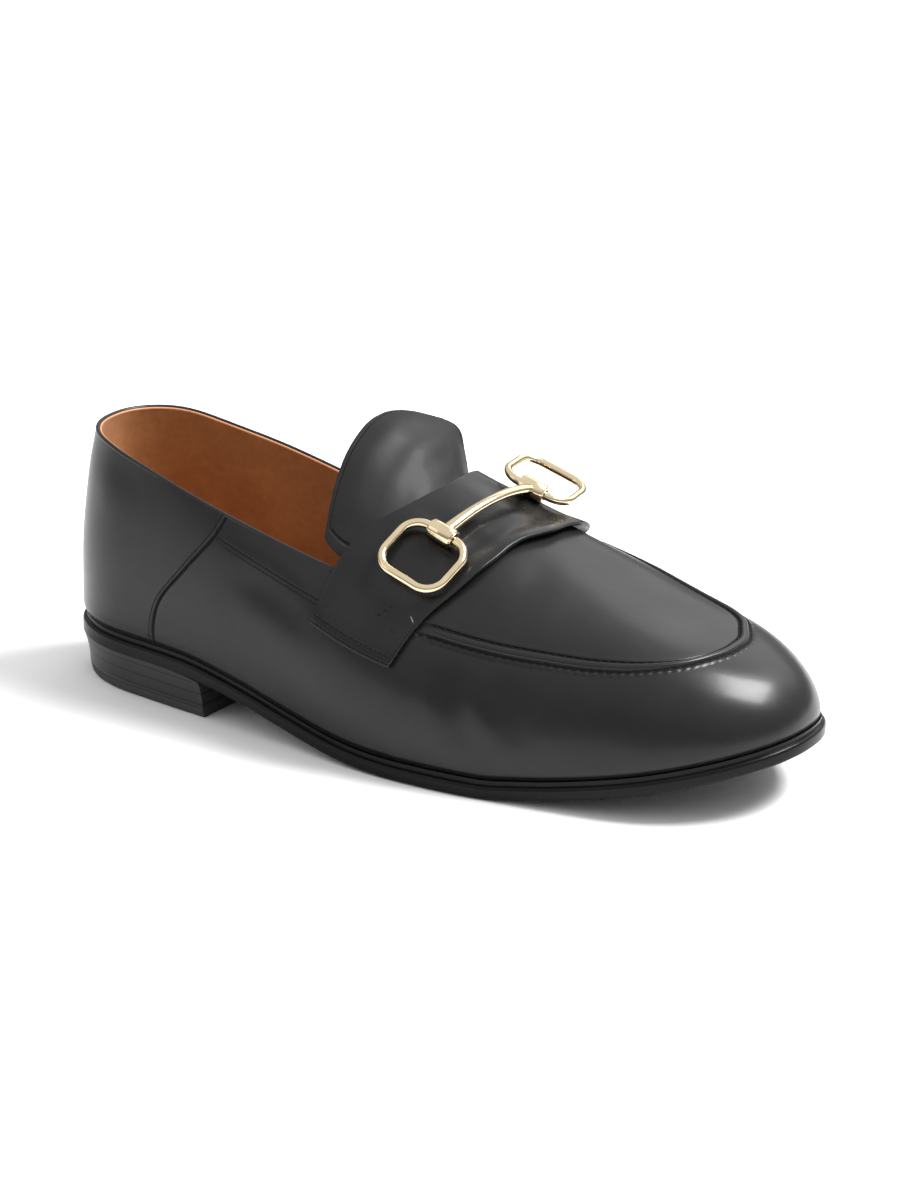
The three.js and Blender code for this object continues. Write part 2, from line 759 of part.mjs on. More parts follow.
// A plain closed link; one long side runs through the sleeve
function link(frame) {
  const path = [];
  const leaned = (a, b, turn) => travel(a.map((value) => value * Math.cos(turn)), b, Math.sin(turn));
  const outward = leaned(frame.across, frame.normal, frame.tilt);
  const normal = leaned(frame.normal, frame.across, -frame.tilt);
  const straight = LINK_LONG / 2 - LINK_CORNER;
  const wide = LINK_WIDE / 2 - LINK_CORNER;
  const middles = [
    [straight, wide, 0],
    [-straight, wide, 1],
    [-straight, -wide, 2],
    [straight, -wide, 3],
  ];
  const centre = travel(frame.centre, outward, LINK_WIDE / 2);
  for (const [u, w, quarter] of middles) {
    for (let k = 0; k <= CORNER_STEPS; k += 1) {
      const turn = ((quarter + k / CORNER_STEPS) * Math.PI) / 2;
      const along = u + LINK_CORNER * Math.cos(turn);
      const across = w + LINK_CORNER * Math.sin(turn);
      const at = travel(travel(centre, frame.along, along), outward, across);
      path.push({ at, normal });
    }
  }
  return wire(path, () => WIRE / 2, true);
}

function toManifold(body) {
  const flipped = body.volume() < 0;
  const faces = flipped ? body.faces.map((f) => [f[0], f[2], f[1]]) : body.faces;
  return new wasm.Manifold(
    new wasm.Mesh({
      numProp: 3,
      vertProperties: Float32Array.from(body.points.flat()),
      triVerts: Uint32Array.from(faces.flat()),
    }),
  );
}

function fromManifold(solid) {
  const body = new Body();
  const { vertProperties, triVerts, numProp } = solid.getMesh();
  const index = [];
  for (let k = 0; k < vertProperties.length; k += numProp) {
    index.push(body.point([...vertProperties.slice(k, k + 3)]));
  }
  for (let k = 0; k < triVerts.length; k += 3) {
    body.triangle(index[triVerts[k]], index[triVerts[k + 1]], index[triVerts[k + 2]]);
  }
  return body;
}

function straightWire(frame, length, radius) {
  const path = [-0.5, -SLEEVE_NECK, 0, SLEEVE_NECK, 0.5].map((share) => {
    const at = travel(frame.centre, frame.along, length * share);
    return { at, normal: frame.normal, share };
  });
  return wire(path, (place) => radius(place.share), false);
}

// The bar with its two sleeves, bored for the links
function bar(lateral, medial) {
  const path = [];
  for (let k = 0; k <= BAR_STEPS; k += 1) {
    const s = k / BAR_STEPS;
    const rise = 4 * s * (1 - s) * BAR_BOW;
    const normal = unit(between(lateral.normal, medial.normal, s));
    const at = travel(between(lateral.centre, medial.centre, s), normal, rise);
    path.push({ at, normal, s });
  }
  const waist = (place) => {
    const flare = Math.pow(2 * place.s - 1, 2);
    return (BAR_WIDE / 2) * (BAR_WAIST + (1 - BAR_WAIST) * flare);
  };
  let solid = toManifold(wire(path, waist, false));
  const shell = (share) => (SLEEVE_WIDE / 2) * (Math.abs(share) > SLEEVE_NECK ? SLEEVE_END : 1);
  for (const frame of [lateral, medial]) {
    solid = solid.add(toManifold(straightWire(frame, SLEEVE_LONG, shell)));
  }
  for (const frame of [lateral, medial]) {
    const bore = straightWire(frame, SLEEVE_LONG * 2, () => SLEEVE_BORE / 2);
    solid = solid.subtract(toManifold(bore));
  }
  return fromManifold(solid);
}

const lateralSleeve = sleeveFrame(SLEEVE_LATERAL, LATERAL);
const medialSleeve = sleeveFrame(SLEEVE_MEDIAL, MEDIAL);

const blackCalf = { color: 0x17171a, roughness: 0.35, metalness: 0 };
const soleEdge = { color: 0x0d0d0e, roughness: 0.28, metalness: 0 };
const blackRubber = { color: 0x222224, roughness: 0.7, metalness: 0 };
const tanCalf = { color: 0x9a5a2c, roughness: 0.55, metalness: 0 };
const paleGold = { color: 0xd8c08c, roughness: 0.22, metalness: 1 };

const shoe = new THREE.Group();
shoe.name = "loafer";
shoe.add(topLift().mesh("top_lift", blackRubber));
shoe.add(heelBlock().mesh("heel_block", soleEdge));
shoe.add(outsole().mesh("outsole", soleEdge));
shoe.add(insole().mesh("insole", tanCalf));
shoe.add(upper().mesh("upper", blackCalf));
shoe.add(saddle().mesh("saddle", blackCalf));
shoe.add(tongue().mesh("tongue", blackCalf));
shoe.add(bar(lateralSleeve, medialSleeve).mesh("ornament_bar", paleGold));
shoe.add(link(lateralSleeve).mesh("ornament_link_lateral", paleGold));
shoe.add(link(medialSleeve).mesh("ornament_link_medial", paleGold));

export default shoe;
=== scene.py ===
# %% [markdown]
# A men's loafer for the right foot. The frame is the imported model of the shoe:
# its solids say where each piece lies. This lesson dresses them: leather, lining,
# binding, seams, stitches, sole edge and the metal bar, each as its own mesh.

import math

import bmesh
import bpy
from mathutils import Matrix, Vector, noise
from mathutils.geometry import intersect_point_line


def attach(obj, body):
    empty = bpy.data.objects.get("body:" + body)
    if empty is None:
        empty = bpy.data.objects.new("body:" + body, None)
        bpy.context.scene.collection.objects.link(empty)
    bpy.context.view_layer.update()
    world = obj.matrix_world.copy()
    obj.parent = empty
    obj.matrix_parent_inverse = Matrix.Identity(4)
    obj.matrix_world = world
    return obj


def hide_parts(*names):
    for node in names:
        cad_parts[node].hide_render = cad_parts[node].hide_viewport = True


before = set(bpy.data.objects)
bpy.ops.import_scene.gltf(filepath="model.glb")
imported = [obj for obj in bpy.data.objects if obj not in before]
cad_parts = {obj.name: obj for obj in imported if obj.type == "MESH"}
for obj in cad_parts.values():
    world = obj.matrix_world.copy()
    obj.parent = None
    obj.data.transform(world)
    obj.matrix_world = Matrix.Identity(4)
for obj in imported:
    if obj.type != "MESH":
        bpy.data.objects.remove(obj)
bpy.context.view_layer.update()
MM = 0.001
print("frame nodes:", sorted(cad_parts))

# %% [markdown]
# Every piece of a shoe is drawn on its last, the wooden foot it is pulled over.
# So the last comes first, as a few sizes in millimetres and short tables of
# shares of them. A row of a table is one section of the shoe.

# %% Sizes and tables of the last
LENGTH, BALL_WIDTH, INSTEP, BACK_HEIGHT = 289, 100, 78, 91
HEEL_HEIGHT, TOE_SPRING, HEEL_CENTRE = 15, 20, 34
SOLE_THICK, WALL, JOINT = 6.5, 2.0, 0.3
HEEL_END, TOE_END = (0.12, 2.3), (0.8, 2.2)
GATHER_BACK, GATHER_FRONT, GATHER_SOFT = 0.13, 0.85, 8
THROAT, THROAT_BLEND = 0.525, 0.035
LATERAL, MEDIAL = -1, 1

OUTLINE = {
    "at": (0.0, 0.1, 0.22, 0.36, 0.5, 0.62, 0.72, 0.82, 0.92, 1.0),
    "centre": (0.0, -0.008, -0.022, -0.052, -0.068, -0.045, -0.02, -0.008, -0.002, 0.0),
    "lateral": (0.275, 0.322, 0.375, 0.41, 0.47, 0.508, 0.502, 0.475, 0.45, 0.42),
    "medial": (0.305, 0.325, 0.36, 0.375, 0.405, 0.465, 0.5, 0.48, 0.445, 0.4),
    "feather": (0.25, 0.25, 0.3, 0.6, 0.8, 0.85, 0.85, 0.85, 0.85, 0.85),
}
BOTTOM = {
    "at": (0.0, 0.12, 0.22, 0.3, 0.38, 0.46, 0.54, 0.66, 0.7, 0.76, 0.84, 0.92, 1.0),
    "arch": (1.02, 1.03, 1.0, 0.74, 0.38, 0.1, 0, 0, 0, 0, 0, 0, 0),
    "spring": (0, 0, 0, 0, 0, 0, 0, 0, 0.06, 0.19, 0.43, 0.71, 1.0),
}
SECTIONS = {
    "at": (0.0, 0.2, 0.32, 0.42, 0.5, 0.58, 0.68, 0.8, 0.9, 1.0),
    "crest": (1.85, 1.72, 1.5, 1.29, 1.13, 1.01, 0.87, 0.73, 0.65, 0.58),
    "shift": (0.0, 0.0, 0.06, 0.13, 0.17, 0.17, 0.13, 0.05, 0.01, 0.0),
    "lateral": (1.08, 1.03, 0.98, 0.9, 0.84, 0.78, 0.66, 0.52, 0.5, 0.55),
    "medial": (1.08, 1.0, 0.85, 0.7, 0.52, 0.46, 0.46, 0.48, 0.5, 0.55),
    "belly": (0.02, 0.05, 0.08, 0.08, 0.06, 0.04, 0.02, 0.0, 0.0, 0.0),
}
TOP_LINE = {
    "at": (0.0, 0.08, 0.18, 0.28, 0.38, 0.46, 0.56),
    "height": (1.0, 0.98, 0.915, 0.84, 0.765, 0.715, 0.67),
}
APRON = {
    "at": (0.56, 0.61, 0.66, 0.71, 0.77, 0.82, 0.88, 0.94, 1.0),
    "lateral": (0.43, 0.448, 0.475, 0.508, 0.565, 0.64, 0.76, 0.86, 0.915),
    "medial": (0.6, 0.68, 0.725, 0.75, 0.77, 0.795, 0.84, 0.895, 0.915),
}
SADDLE = {
    "at": (0.277, 0.44, 0.6, 0.75, 0.9, 1.0),
    "rear_lateral": (0.421, 0.437, 0.458, 0.487, 0.504, 0.508),
    "front_lateral": (0.536, 0.563, 0.594, 0.612, 0.622, 0.636),
    "rear_medial": (0.425, 0.443, 0.468, 0.496, 0.508, 0.508),
    "front_medial": (0.545, 0.58, 0.614, 0.638, 0.642, 0.636),
}
TONGUE = {
    "at": (0.0, 0.25, 0.5, 0.75, 1.0),
    "lx": (0.552, 0.51, 0.47, 0.43, 0.4),
    "ly": (-0.32, -0.34, -0.35, -0.36, -0.325),
    "lz": (0.8, 0.82, 0.85, 0.9, 0.975),
    "cx": (0.558, 0.519, 0.474, 0.43, 0.393),
    "cy": (0.1, 0.11, 0.14, 0.15, 0.11),
    "cz": (0.985, 1.055, 1.23, 1.34, 1.35),
    "mx": (0.552, 0.512, 0.475, 0.456, 0.43),
    "my": (0.2, 0.192, 0.295, 0.335, 0.29),
    "mz": (0.93, 0.95, 1.15, 1.245, 1.31),
}
COUNTER = {"at": (0.0, 0.12, 0.28, 0.51, 0.82, 1.0), "seam": (0.168, 0.168, 0.18, 0.217, 0.262, 0.279)}
print("tables:", len(OUTLINE["at"]), "stations in the outline")

# %% [markdown]
# A shoemaker joins the sections with a spring curve. Here a cubic through the
# rows of one column does the same, so any station between two rows has a value.

# %% Smooth line through a column
def column(table, name):
    at, value = table["at"], table[name]
    last = len(at) - 1
    slope = [
        (value[min(k + 1, last)] - value[max(k - 1, 0)])
        / (at[min(k + 1, last)] - at[max(k - 1, 0)])
        for k in range(last + 1)
    ]

    def read(t):
        if t <= at[0]:
            return value[0]
        if t >= at[last]:
            return value[last]
        k = 0
        while at[k + 1] < t:
            k += 1
        run = at[k + 1] - at[k]
        s = (t - at[k]) / run
        rise = s * s * (3 - 2 * s)
        bend = run * s * (1 - s) * (slope[k] * (1 - s) - slope[k + 1] * s)
        return value[k] * (1 - rise) + value[k + 1] * rise + bend

    return read


def sides(table, lateral, medial):
    return {LATERAL: column(table, lateral), MEDIAL: column(table, medial)}


def ease(value):
    s = min(max(value, 0.0), 1.0)
    return s * s * (3 - 2 * s)


centre_at, half_at = column(OUTLINE, "centre"), sides(OUTLINE, "lateral", "medial")
feather_at = column(OUTLINE, "feather")
arch_at, spring_at = column(BOTTOM, "arch"), column(BOTTOM, "spring")
crest_at, shift_at, belly_at = (column(SECTIONS, name) for name in ("crest", "shift", "belly"))
full_at = sides(SECTIONS, "lateral", "medial")
top_line_at, apron_at = column(TOP_LINE, "height"), sides(APRON, "lateral", "medial")
saddle_rear = sides(SADDLE, "rear_lateral", "rear_medial")
saddle_front = sides(SADDLE, "front_lateral", "front_medial")
counter_at = column(COUNTER, "seam")
tongue_at = {name: column(TONGUE, name) for name in TONGUE if name != "at"}
print("ball half width, lateral:", round(BALL_WIDTH * half_at[LATERAL](0.66), 1), "mm")

# %% [markdown]
# The outline is the edge of the sole seen from above. Its heel and toe are
# rounded with one power each, which gives the slim almond toe of this shoe.
# The ribs then stand on that outline, side by side like those of a boat, and
# meet on the ridge of the instep.

# %% The last
def along_x(t):
    return t * LENGTH - HEEL_CENTRE


def sole_bottom(t):
    return max(HEEL_HEIGHT * arch_at(t) + TOE_SPRING * spring_at(t), 0.0)


def sole_top(t):
    return sole_bottom(t) + SOLE_THICK


def end_share(t):
    if t < HEEL_END[0]:
        return max(1 - (1 - t / HEEL_END[0]) ** HEEL_END[1], 0) ** (1 / HEEL_END[1])
    if t > TOE_END[0]:
        s = min((t - TOE_END[0]) / (1 - TOE_END[0]), 1.0)
        return max(1 - s ** TOE_END[1], 0) ** (1 / TOE_END[1])
    return 1.0


def outline_point(t, side):
    half = BALL_WIDTH * half_at[side](t) * end_share(t)
    return Vector((along_x(t), BALL_WIDTH * centre_at(t) + side * half))


def edge_point(t, side, inset):
    step = 1e-4
    normal = Vector((-1 if t < 0.5 else 1, 0))
    if step / 100 < t < 1 - step / 100:
        run = outline_point(min(t + step, 1), side) - outline_point(max(t - step, 0), side)
        normal = Vector((-side * run.y, side * run.x)).normalized()
    return outline_point(t, side) - normal * inset


def soft_max(a, b):
    return 0.5 * (a + b + math.hypot(a - b, GATHER_SOFT))


def ridge_point(t):
    x = -soft_max(-soft_max(along_x(t), along_x(GATHER_BACK)), -along_x(GATHER_FRONT))
    share = (x + HEEL_CENTRE) / LENGTH
    return Vector((x, BALL_WIDTH * (centre_at(share) + shift_at(share))))


def rib_point(t, side, up):
    foot, ridge = edge_point(t, side, WALL * feather_at(t)), ridge_point(t)
    up = min(max(up, 0.0), 1.0)
    turn = up * math.pi / 2
    belly = belly_at(t) * 6.75 * up * (1 - up) ** 2
    reach = max(math.cos(turn), 0.0) ** full_at[side](t) * (1 + belly)
    plan = ridge + (foot - ridge) * reach
    base = sole_top(t) + JOINT
    crest = INSTEP * crest_at((plan.x + HEEL_CENTRE) / LENGTH)
    return Vector((plan.x, plan.y, base + (crest - base) * math.sin(turn)))


def last_normal(t, side, up):
    step = 0.004
    up = min(up, 1 - step)
    run = rib_point(min(t + step, 0.9995), side, up) - rib_point(max(t - step, 0.0005), side, up)
    rise = rib_point(t, side, up + step) - rib_point(t, side, max(up - step, 0))
    return run.cross(rise).normalized() * -side


def last_point(t, side, up, lift):
    return rib_point(t, side, up) + last_normal(t, side, up) * lift


def up_at_height(t, side, height):
    low, high = 0.0, 1.0
    for _ in range(24):
        middle = (low + high) / 2
        if rib_point(t, side, middle).z < height:
            low = middle
        else:
            high = middle
    return (low + high) / 2


def up_at_reach(t, side, reach):
    return math.acos(min(max(reach, 0.0), 1.0) ** (1 / full_at[side](t))) * 2 / math.pi


def reach_at(t, side, up):
    return max(math.cos(up * math.pi / 2), 0.0) ** full_at[side](t)


parting_known = {}


def parting_up(t, side):
    """How far up the side the wall ends: at the collar, or at the apron seam."""
    key = (round(t, 6), side)
    if key not in parting_known:
        collar = up_at_height(min(t, THROAT), side, BACK_HEIGHT * top_line_at(t))
        blend = ease((t - THROAT) / THROAT_BLEND) if t > THROAT else 0.0
        parting_known[key] = collar * (1 - blend) + apron_at[side](t) * blend
    return parting_known[key]


print("ridge over the ball:", [round(v, 1) for v in rib_point(0.66, MEDIAL, 1)], "mm")

# %% [markdown]
# Leather is a sheet, so most pieces start as a flat grid whose corners are then
# laid on the last, as a maker pulls leather over wood. The helper makes the grid
# with an operator, moves its corners, joins the ones that meet, and pushes each
# along its own normal by the height of the seam or fold that runs there.

# %% Sheets laid on the last
MARKS = ("lift", "seam", "run", "counter", "band", "foot", "hem")


def add_grid(bm, columns, rows, place):
    """place(i, j) gives the point in mm and a dict of lift and marks."""
    for name in MARKS:
        bm.verts.layers.float.get(name) or bm.verts.layers.float.new(name)
    made = bmesh.ops.create_grid(bm, x_segments=columns, y_segments=rows, size=0.5)["verts"]
    for vert in made:
        i = round((vert.co.x + 0.5) * columns)
        j = round((vert.co.y + 0.5) * rows)
        point, marks = place(i, j)
        vert.co = point * MM
        for name, value in marks.items():
            vert[bm.verts.layers.float[name]] = value
    return made


def finish_mesh(bm, name, merge=2e-6, flip=False, smooth=True, angle=None):
    bmesh.ops.remove_doubles(bm, verts=bm.verts, dist=merge)
    bmesh.ops.dissolve_degenerate(bm, dist=merge, edges=bm.edges)
    if flip:
        bmesh.ops.reverse_faces(bm, faces=bm.faces)
    bm.normal_update()
    lift = bm.verts.layers.float.get("lift")
    if lift:
        moves = [vert.normal * vert[lift] * MM for vert in bm.verts]
        for vert, move in zip(bm.verts, moves):
            vert.co += move
    for face in bm.faces:
        face.smooth = smooth
    mesh = bpy.data.meshes.new(name)
    bm.to_mesh(mesh)
    bm.free()
    piece = bpy.data.objects.new(name, mesh)
    bpy.context.collection.objects.link(piece)
    if angle is not None:
        mesh.set_sharp_from_angle(angle=math.radians(angle))
    print(name, len(mesh.polygons), "faces")
    return piece


def thicken(piece, thickness):
    wall = piece.modifiers.new("thickness", "SOLIDIFY")
    wall.thickness = thickness * MM
    wall.offset = -1.0
    wall.use_even_offset = False
    return piece


def soften(piece, width):
    bevel = piece.modifiers.new("soft_edge", "BEVEL")
    bevel.width = width * MM
    bevel.segments = 3
    bevel.limit_method = "ANGLE"
    bevel.angle_limit = math.radians(40)
    return piece


def loft(name, columns, rows, place, angle=None):
    """A grid rolled into a closed skin: its sides meet and its ends are capped."""
    bm = bmesh.new()
    add_grid(bm, columns, rows, place)
    bmesh.ops.remove_doubles(bm, verts=bm.verts, dist=2e-6)
    openings = [edge for edge in bm.edges if edge.is_boundary]
    if openings:
        bmesh.ops.holes_fill(bm, edges=openings)
    bmesh.ops.recalc_face_normals(bm, faces=bm.faces)
    return finish_mesh(bm, name, angle=angle)


def tube(name, parts, ring, place):
    """place(k) gives the centre of section k and its two half axes, all in mm."""
    def around(i, j):
        centre, wide, high = place(i)
        turn = j / ring * 2 * math.pi
        return centre + wide * math.cos(turn) + high * math.sin(turn), {}

    return loft(name, parts, ring, around)


def soft_wave(point, size, height):
    return height * noise.noise(point / size)


def steps(a, b, count=40):
    return [a + (b - a) * k / count for k in range(count + 1)]


# %% [markdown]
# The stations of the upper are closer together where the outline turns and where
# the counter seam runs down the quarter, so that its small step is a real edge.

# %% Stations of the upper
COUNTER_STEPS = (-3, -1.6, -0.9, -0.5, -0.2, 0.1, 0.4, 0.8, 1.6, 3)
HEEL_PARTS, QUARTER_PARTS, HIDDEN_PARTS, BALL_PARTS, TOE_PARTS = 26, 20, 12, 44, 44
HIDDEN_END = THROAT + THROAT_BLEND
THROAT_INDEX = HEEL_PARTS + len(COUNTER_STEPS) + QUARTER_PARTS
SIDE_PARTS = THROAT_INDEX + HIDDEN_PARTS + BALL_PARTS + TOE_PARTS


def station(i, w):
    """Share of length of column i, at height share w of the wall."""
    seam = counter_at(w)
    first = seam + COUNTER_STEPS[0] / LENGTH
    final = seam + COUNTER_STEPS[-1] / LENGTH
    if i < HEEL_PARTS:
        return first * (1 - math.cos(i / HEEL_PARTS * math.pi / 2))
    i -= HEEL_PARTS
    if i < len(COUNTER_STEPS):
        return seam + COUNTER_STEPS[i] / LENGTH
    i -= len(COUNTER_STEPS)
    if i < QUARTER_PARTS:
        return final + (THROAT - final) * (i + 1) / (QUARTER_PARTS + 1)
    i -= QUARTER_PARTS
    if i < HIDDEN_PARTS:
        return THROAT + THROAT_BLEND * i / HIDDEN_PARTS
    i -= HIDDEN_PARTS
    if i < BALL_PARTS:
        return HIDDEN_END + (TOE_END[0] - HIDDEN_END) * i / BALL_PARTS
    i -= BALL_PARTS
    return TOE_END[0] + (1 - TOE_END[0]) * math.sin(i / TOE_PARTS * math.pi / 2)


print("columns on each side of the upper:", SIDE_PARTS)

# %% [markdown]
# The apron seam is the mark of this shoe: the wall leather ends in a raised edge,
# then comes a fine rib of gathered leather, then the flat apron. Its profile is a
# short table of height against distance from the rib, in millimetres.

# %% Relief of the apron seam and the counter seam
APRON_SEAM = {
    "at": (-4.2, -3.2, -2.6, -2.2, -1.9, -1.6, -1.2, -0.7, 0.0, 0.6, 1.0, 1.35, 1.7, 2.1, 2.8, 4.0),
    "high": (0, 0.18, 0.26, 0.12, -0.12, 0.2, 0.75, 1.05, 1.12, 1.0, 0.72, 0.12, -0.2, 0.0, 0.12, 0),
}
seam_profile = column(APRON_SEAM, "high")
NEAR_SEAM = (0, 0.3, 0.6, 0.85, 1.1, 1.35, 1.6, 1.85, 2.1, 2.4, 2.8, 3.4, 4.0, 4.4, 4.8, 5.6)
WALL_FAR_ROWS, APRON_FAR_ROWS = 22, 12
WALL_ROWS = WALL_FAR_ROWS + len(NEAR_SEAM)


def climb(t, side):
    """Millimetres travelled up the side for each unit of height share, at the top."""
    top = parting_up(t, side)
    return (rib_point(t, side, top) - rib_point(t, side, top - 0.04)).length / 0.04


def seam_strength(t, side):
    start = saddle_front[side](apron_at[side](t)) + 0.004
    return ease((t - start) / 0.018)


def seam_relief(t, side, distance):
    """The rib with its two grooves, and a faint second line that starts at the saddle."""
    second = -0.16 * math.exp(-((distance + 4.4) / 0.4) ** 2) * (1 - ease((t - 0.66) / 0.1))
    return seam_strength(t, side) * (seam_profile(distance) + second)


def counter_distance(t, w):
    return (t - counter_at(w)) * LENGTH


def counter_relief(t, w):
    distance = counter_distance(t, w)
    step = 0.34 * (1 - ease((distance + 0.5) / 0.7)) * math.exp(-(min(distance + 3, 0) / 22) ** 2)
    groove = -0.3 * math.exp(-((distance - 0.25) / 0.45) ** 2)
    return (step + groove) * ease(w / 0.06)


# How far the seam line has run at each station, for the puckers
RUN_STEPS = 400


def measure_run(side):
    table, total, before = [], 0.0, None
    for k in range(RUN_STEPS + 1):
        t = THROAT + (1 - THROAT) * math.sin(k / RUN_STEPS * math.pi / 2)
        point = rib_point(t, side, parting_up(t, side))
        total += (point - before).length if before else 0.0
        before = point
        table.append(total)
    return table


run_table = {side: measure_run(side) for side in (LATERAL, MEDIAL)}


def seam_run(t, side):
    s = math.asin(min(max((t - THROAT) / (1 - THROAT), 0), 1)) * 2 / math.pi * RUN_STEPS
    k = min(int(s), RUN_STEPS - 1)
    table = run_table[side]
    here = table[k] + (table[k + 1] - table[k]) * (s - k)
    return side * (here - table[-1])


print("seam length, lateral:", round(run_table[LATERAL][-1]), "mm")

# %% [markdown]
# Leather folds where the foot bends. Each main crease is listed: three places it
# runs through, its half width and its depth in millimetres. It is a soft trough
# with a low ridge on each side, and it dies out towards its ends.

# %% Creases listed one by one
def crease(place, start, middle, end, wide, deep):
    """A line through three places, each two shares that place() turns into a point."""
    line = []
    for k in range(9):
        s = k / 8
        shares = ((1 - s) * (1 - 2 * s), 4 * s * (1 - s), s * (2 * s - 1))
        spot = shares[0] * Vector(start) + shares[1] * Vector(middle) + shares[2] * Vector(end)
        line.append(place(spot.x, spot.y))
    return line, wide, deep


def crease_relief(point, creases):
    total = 0.0
    for line, wide, deep in creases:
        if (point - line[4]).length > (line[0] - line[8]).length + 4 * wide:
            continue
        nearest, place = 1e9, 0.0
        for k in range(8):
            share = min(max(intersect_point_line(point, line[k], line[k + 1])[1], 0.0), 1.0)
            gap = (line[k].lerp(line[k + 1], share) - point).length
            if gap < nearest:
                nearest, place = gap, (k + share) / 8
        r = nearest / wide
        shape = 0.4 * math.exp(-((r - 1.9) / 0.8) ** 2) - math.exp(-r * r)
        total += deep * shape * ease(place / 0.3) * ease((1 - place) / 0.3)
    return total


def on_last(side):
    return lambda t, up: rib_point(t, side, up)


UPPER_CREASES = (
    crease(on_last(LATERAL), (0.60, 0.37), (0.628, 0.22), (0.645, 0.05), 5.0, 0.5),
    crease(on_last(LATERAL), (0.67, 0.41), (0.695, 0.26), (0.70, 0.08), 6.0, 0.4),
    crease(on_last(LATERAL), (0.29, 0.2), (0.36, 0.27), (0.44, 0.2), 6.0, 0.5),
    crease(on_last(LATERAL), (0.03, 0.3), (0.08, 0.36), (0.14, 0.28), 8.0, 0.5),
    crease(on_last(LATERAL), (0.655, 0.56), (0.668, 0.75), (0.655, 0.98), 5.0, 0.3),
    crease(on_last(MEDIAL), (0.62, 0.58), (0.655, 0.38), (0.67, 0.1), 5.0, 0.5),
    crease(on_last(MEDIAL), (0.69, 0.64), (0.72, 0.42), (0.735, 0.15), 6.0, 0.4),
    crease(on_last(MEDIAL), (0.29, 0.2), (0.36, 0.28), (0.44, 0.22), 6.0, 0.5),
    crease(on_last(MEDIAL), (0.03, 0.28), (0.09, 0.34), (0.15, 0.26), 8.0, 0.5),
)
print("creases of the upper:", len(UPPER_CREASES))

# %% [markdown]
# The outer leather is made of two grids in one mesh: the wall all round the shoe
# and the apron over the forefoot. They share the seam line, where they are joined.

# %% Outer leather of the upper
def wall_up(t, side, j):
    """Height up the rib of wall row j from the sole, and its distance from the top."""
    top, speed = parting_up(t, side), climb(t, side)
    near = len(NEAR_SEAM)
    if j > WALL_ROWS - near:
        distance = NEAR_SEAM[WALL_ROWS - j]
        return top - distance / speed, distance
    up = (top - NEAR_SEAM[-1] / speed) * j / (WALL_FAR_ROWS + 1)
    return up, (top - up) * speed


def row_share(j):
    """Share of the wall height of row j, taken beside the counter seam."""
    middle = 0.22
    return wall_up(middle, LATERAL, j)[0] / parting_up(middle, LATERAL)


def apron_reach(t, side):
    """Reach of the seam from the ridge, and millimetres for each unit of reach."""
    edge = reach_at(t, side, parting_up(t, side))
    low = rib_point(t, side, up_at_reach(t, side, edge * 0.9))
    high = rib_point(t, side, up_at_reach(t, side, edge))
    return edge, (high - low).length / (edge * 0.1)


def apron_up(t, side, j):
    """Height up the rib of apron row j, and its distance from the seam."""
    edge, speed = apron_reach(t, side)
    near = len(NEAR_SEAM)
    if j < near:
        return up_at_reach(t, side, edge - NEAR_SEAM[j] / speed), NEAR_SEAM[j]
    inner = edge - NEAR_SEAM[-1] / speed
    k = j - near + 1
    return up_at_reach(t, side, inner * (1 - k / (APRON_FAR_ROWS + 1))), 99.0


def perimeter(i):
    return (i, LATERAL) if i <= SIDE_PARTS else (2 * SIDE_PARTS - i, MEDIAL)


def soft_form(point, share=1.0):
    """Slight waves of the skin, and the listed creases."""
    return soft_wave(point, 21.0, 0.22) * share + crease_relief(point, UPPER_CREASES)


ROW_SHARES = [row_share(j) for j in range(WALL_ROWS + 1)]
BAND_FROM, BAND_TO = 0.268, 0.43
BAND_NARROW, BAND_WIDER = 8.5, 3.5


def band_deep(t):
    """The collar band widens from the counter seam to the saddle."""
    return BAND_NARROW + BAND_WIDER * min(max((t - BAND_FROM) / (BAND_TO - BAND_FROM), 0), 1)


def foot_tuck(point, t):
    """The foot of the upper turns in over the sole, most at the heel."""
    rise = point.z - sole_top(t)
    return -(0.5 + 0.5 * (1 - ease((t - 0.2) / 0.15))) * (1 - ease(rise / 2.4))


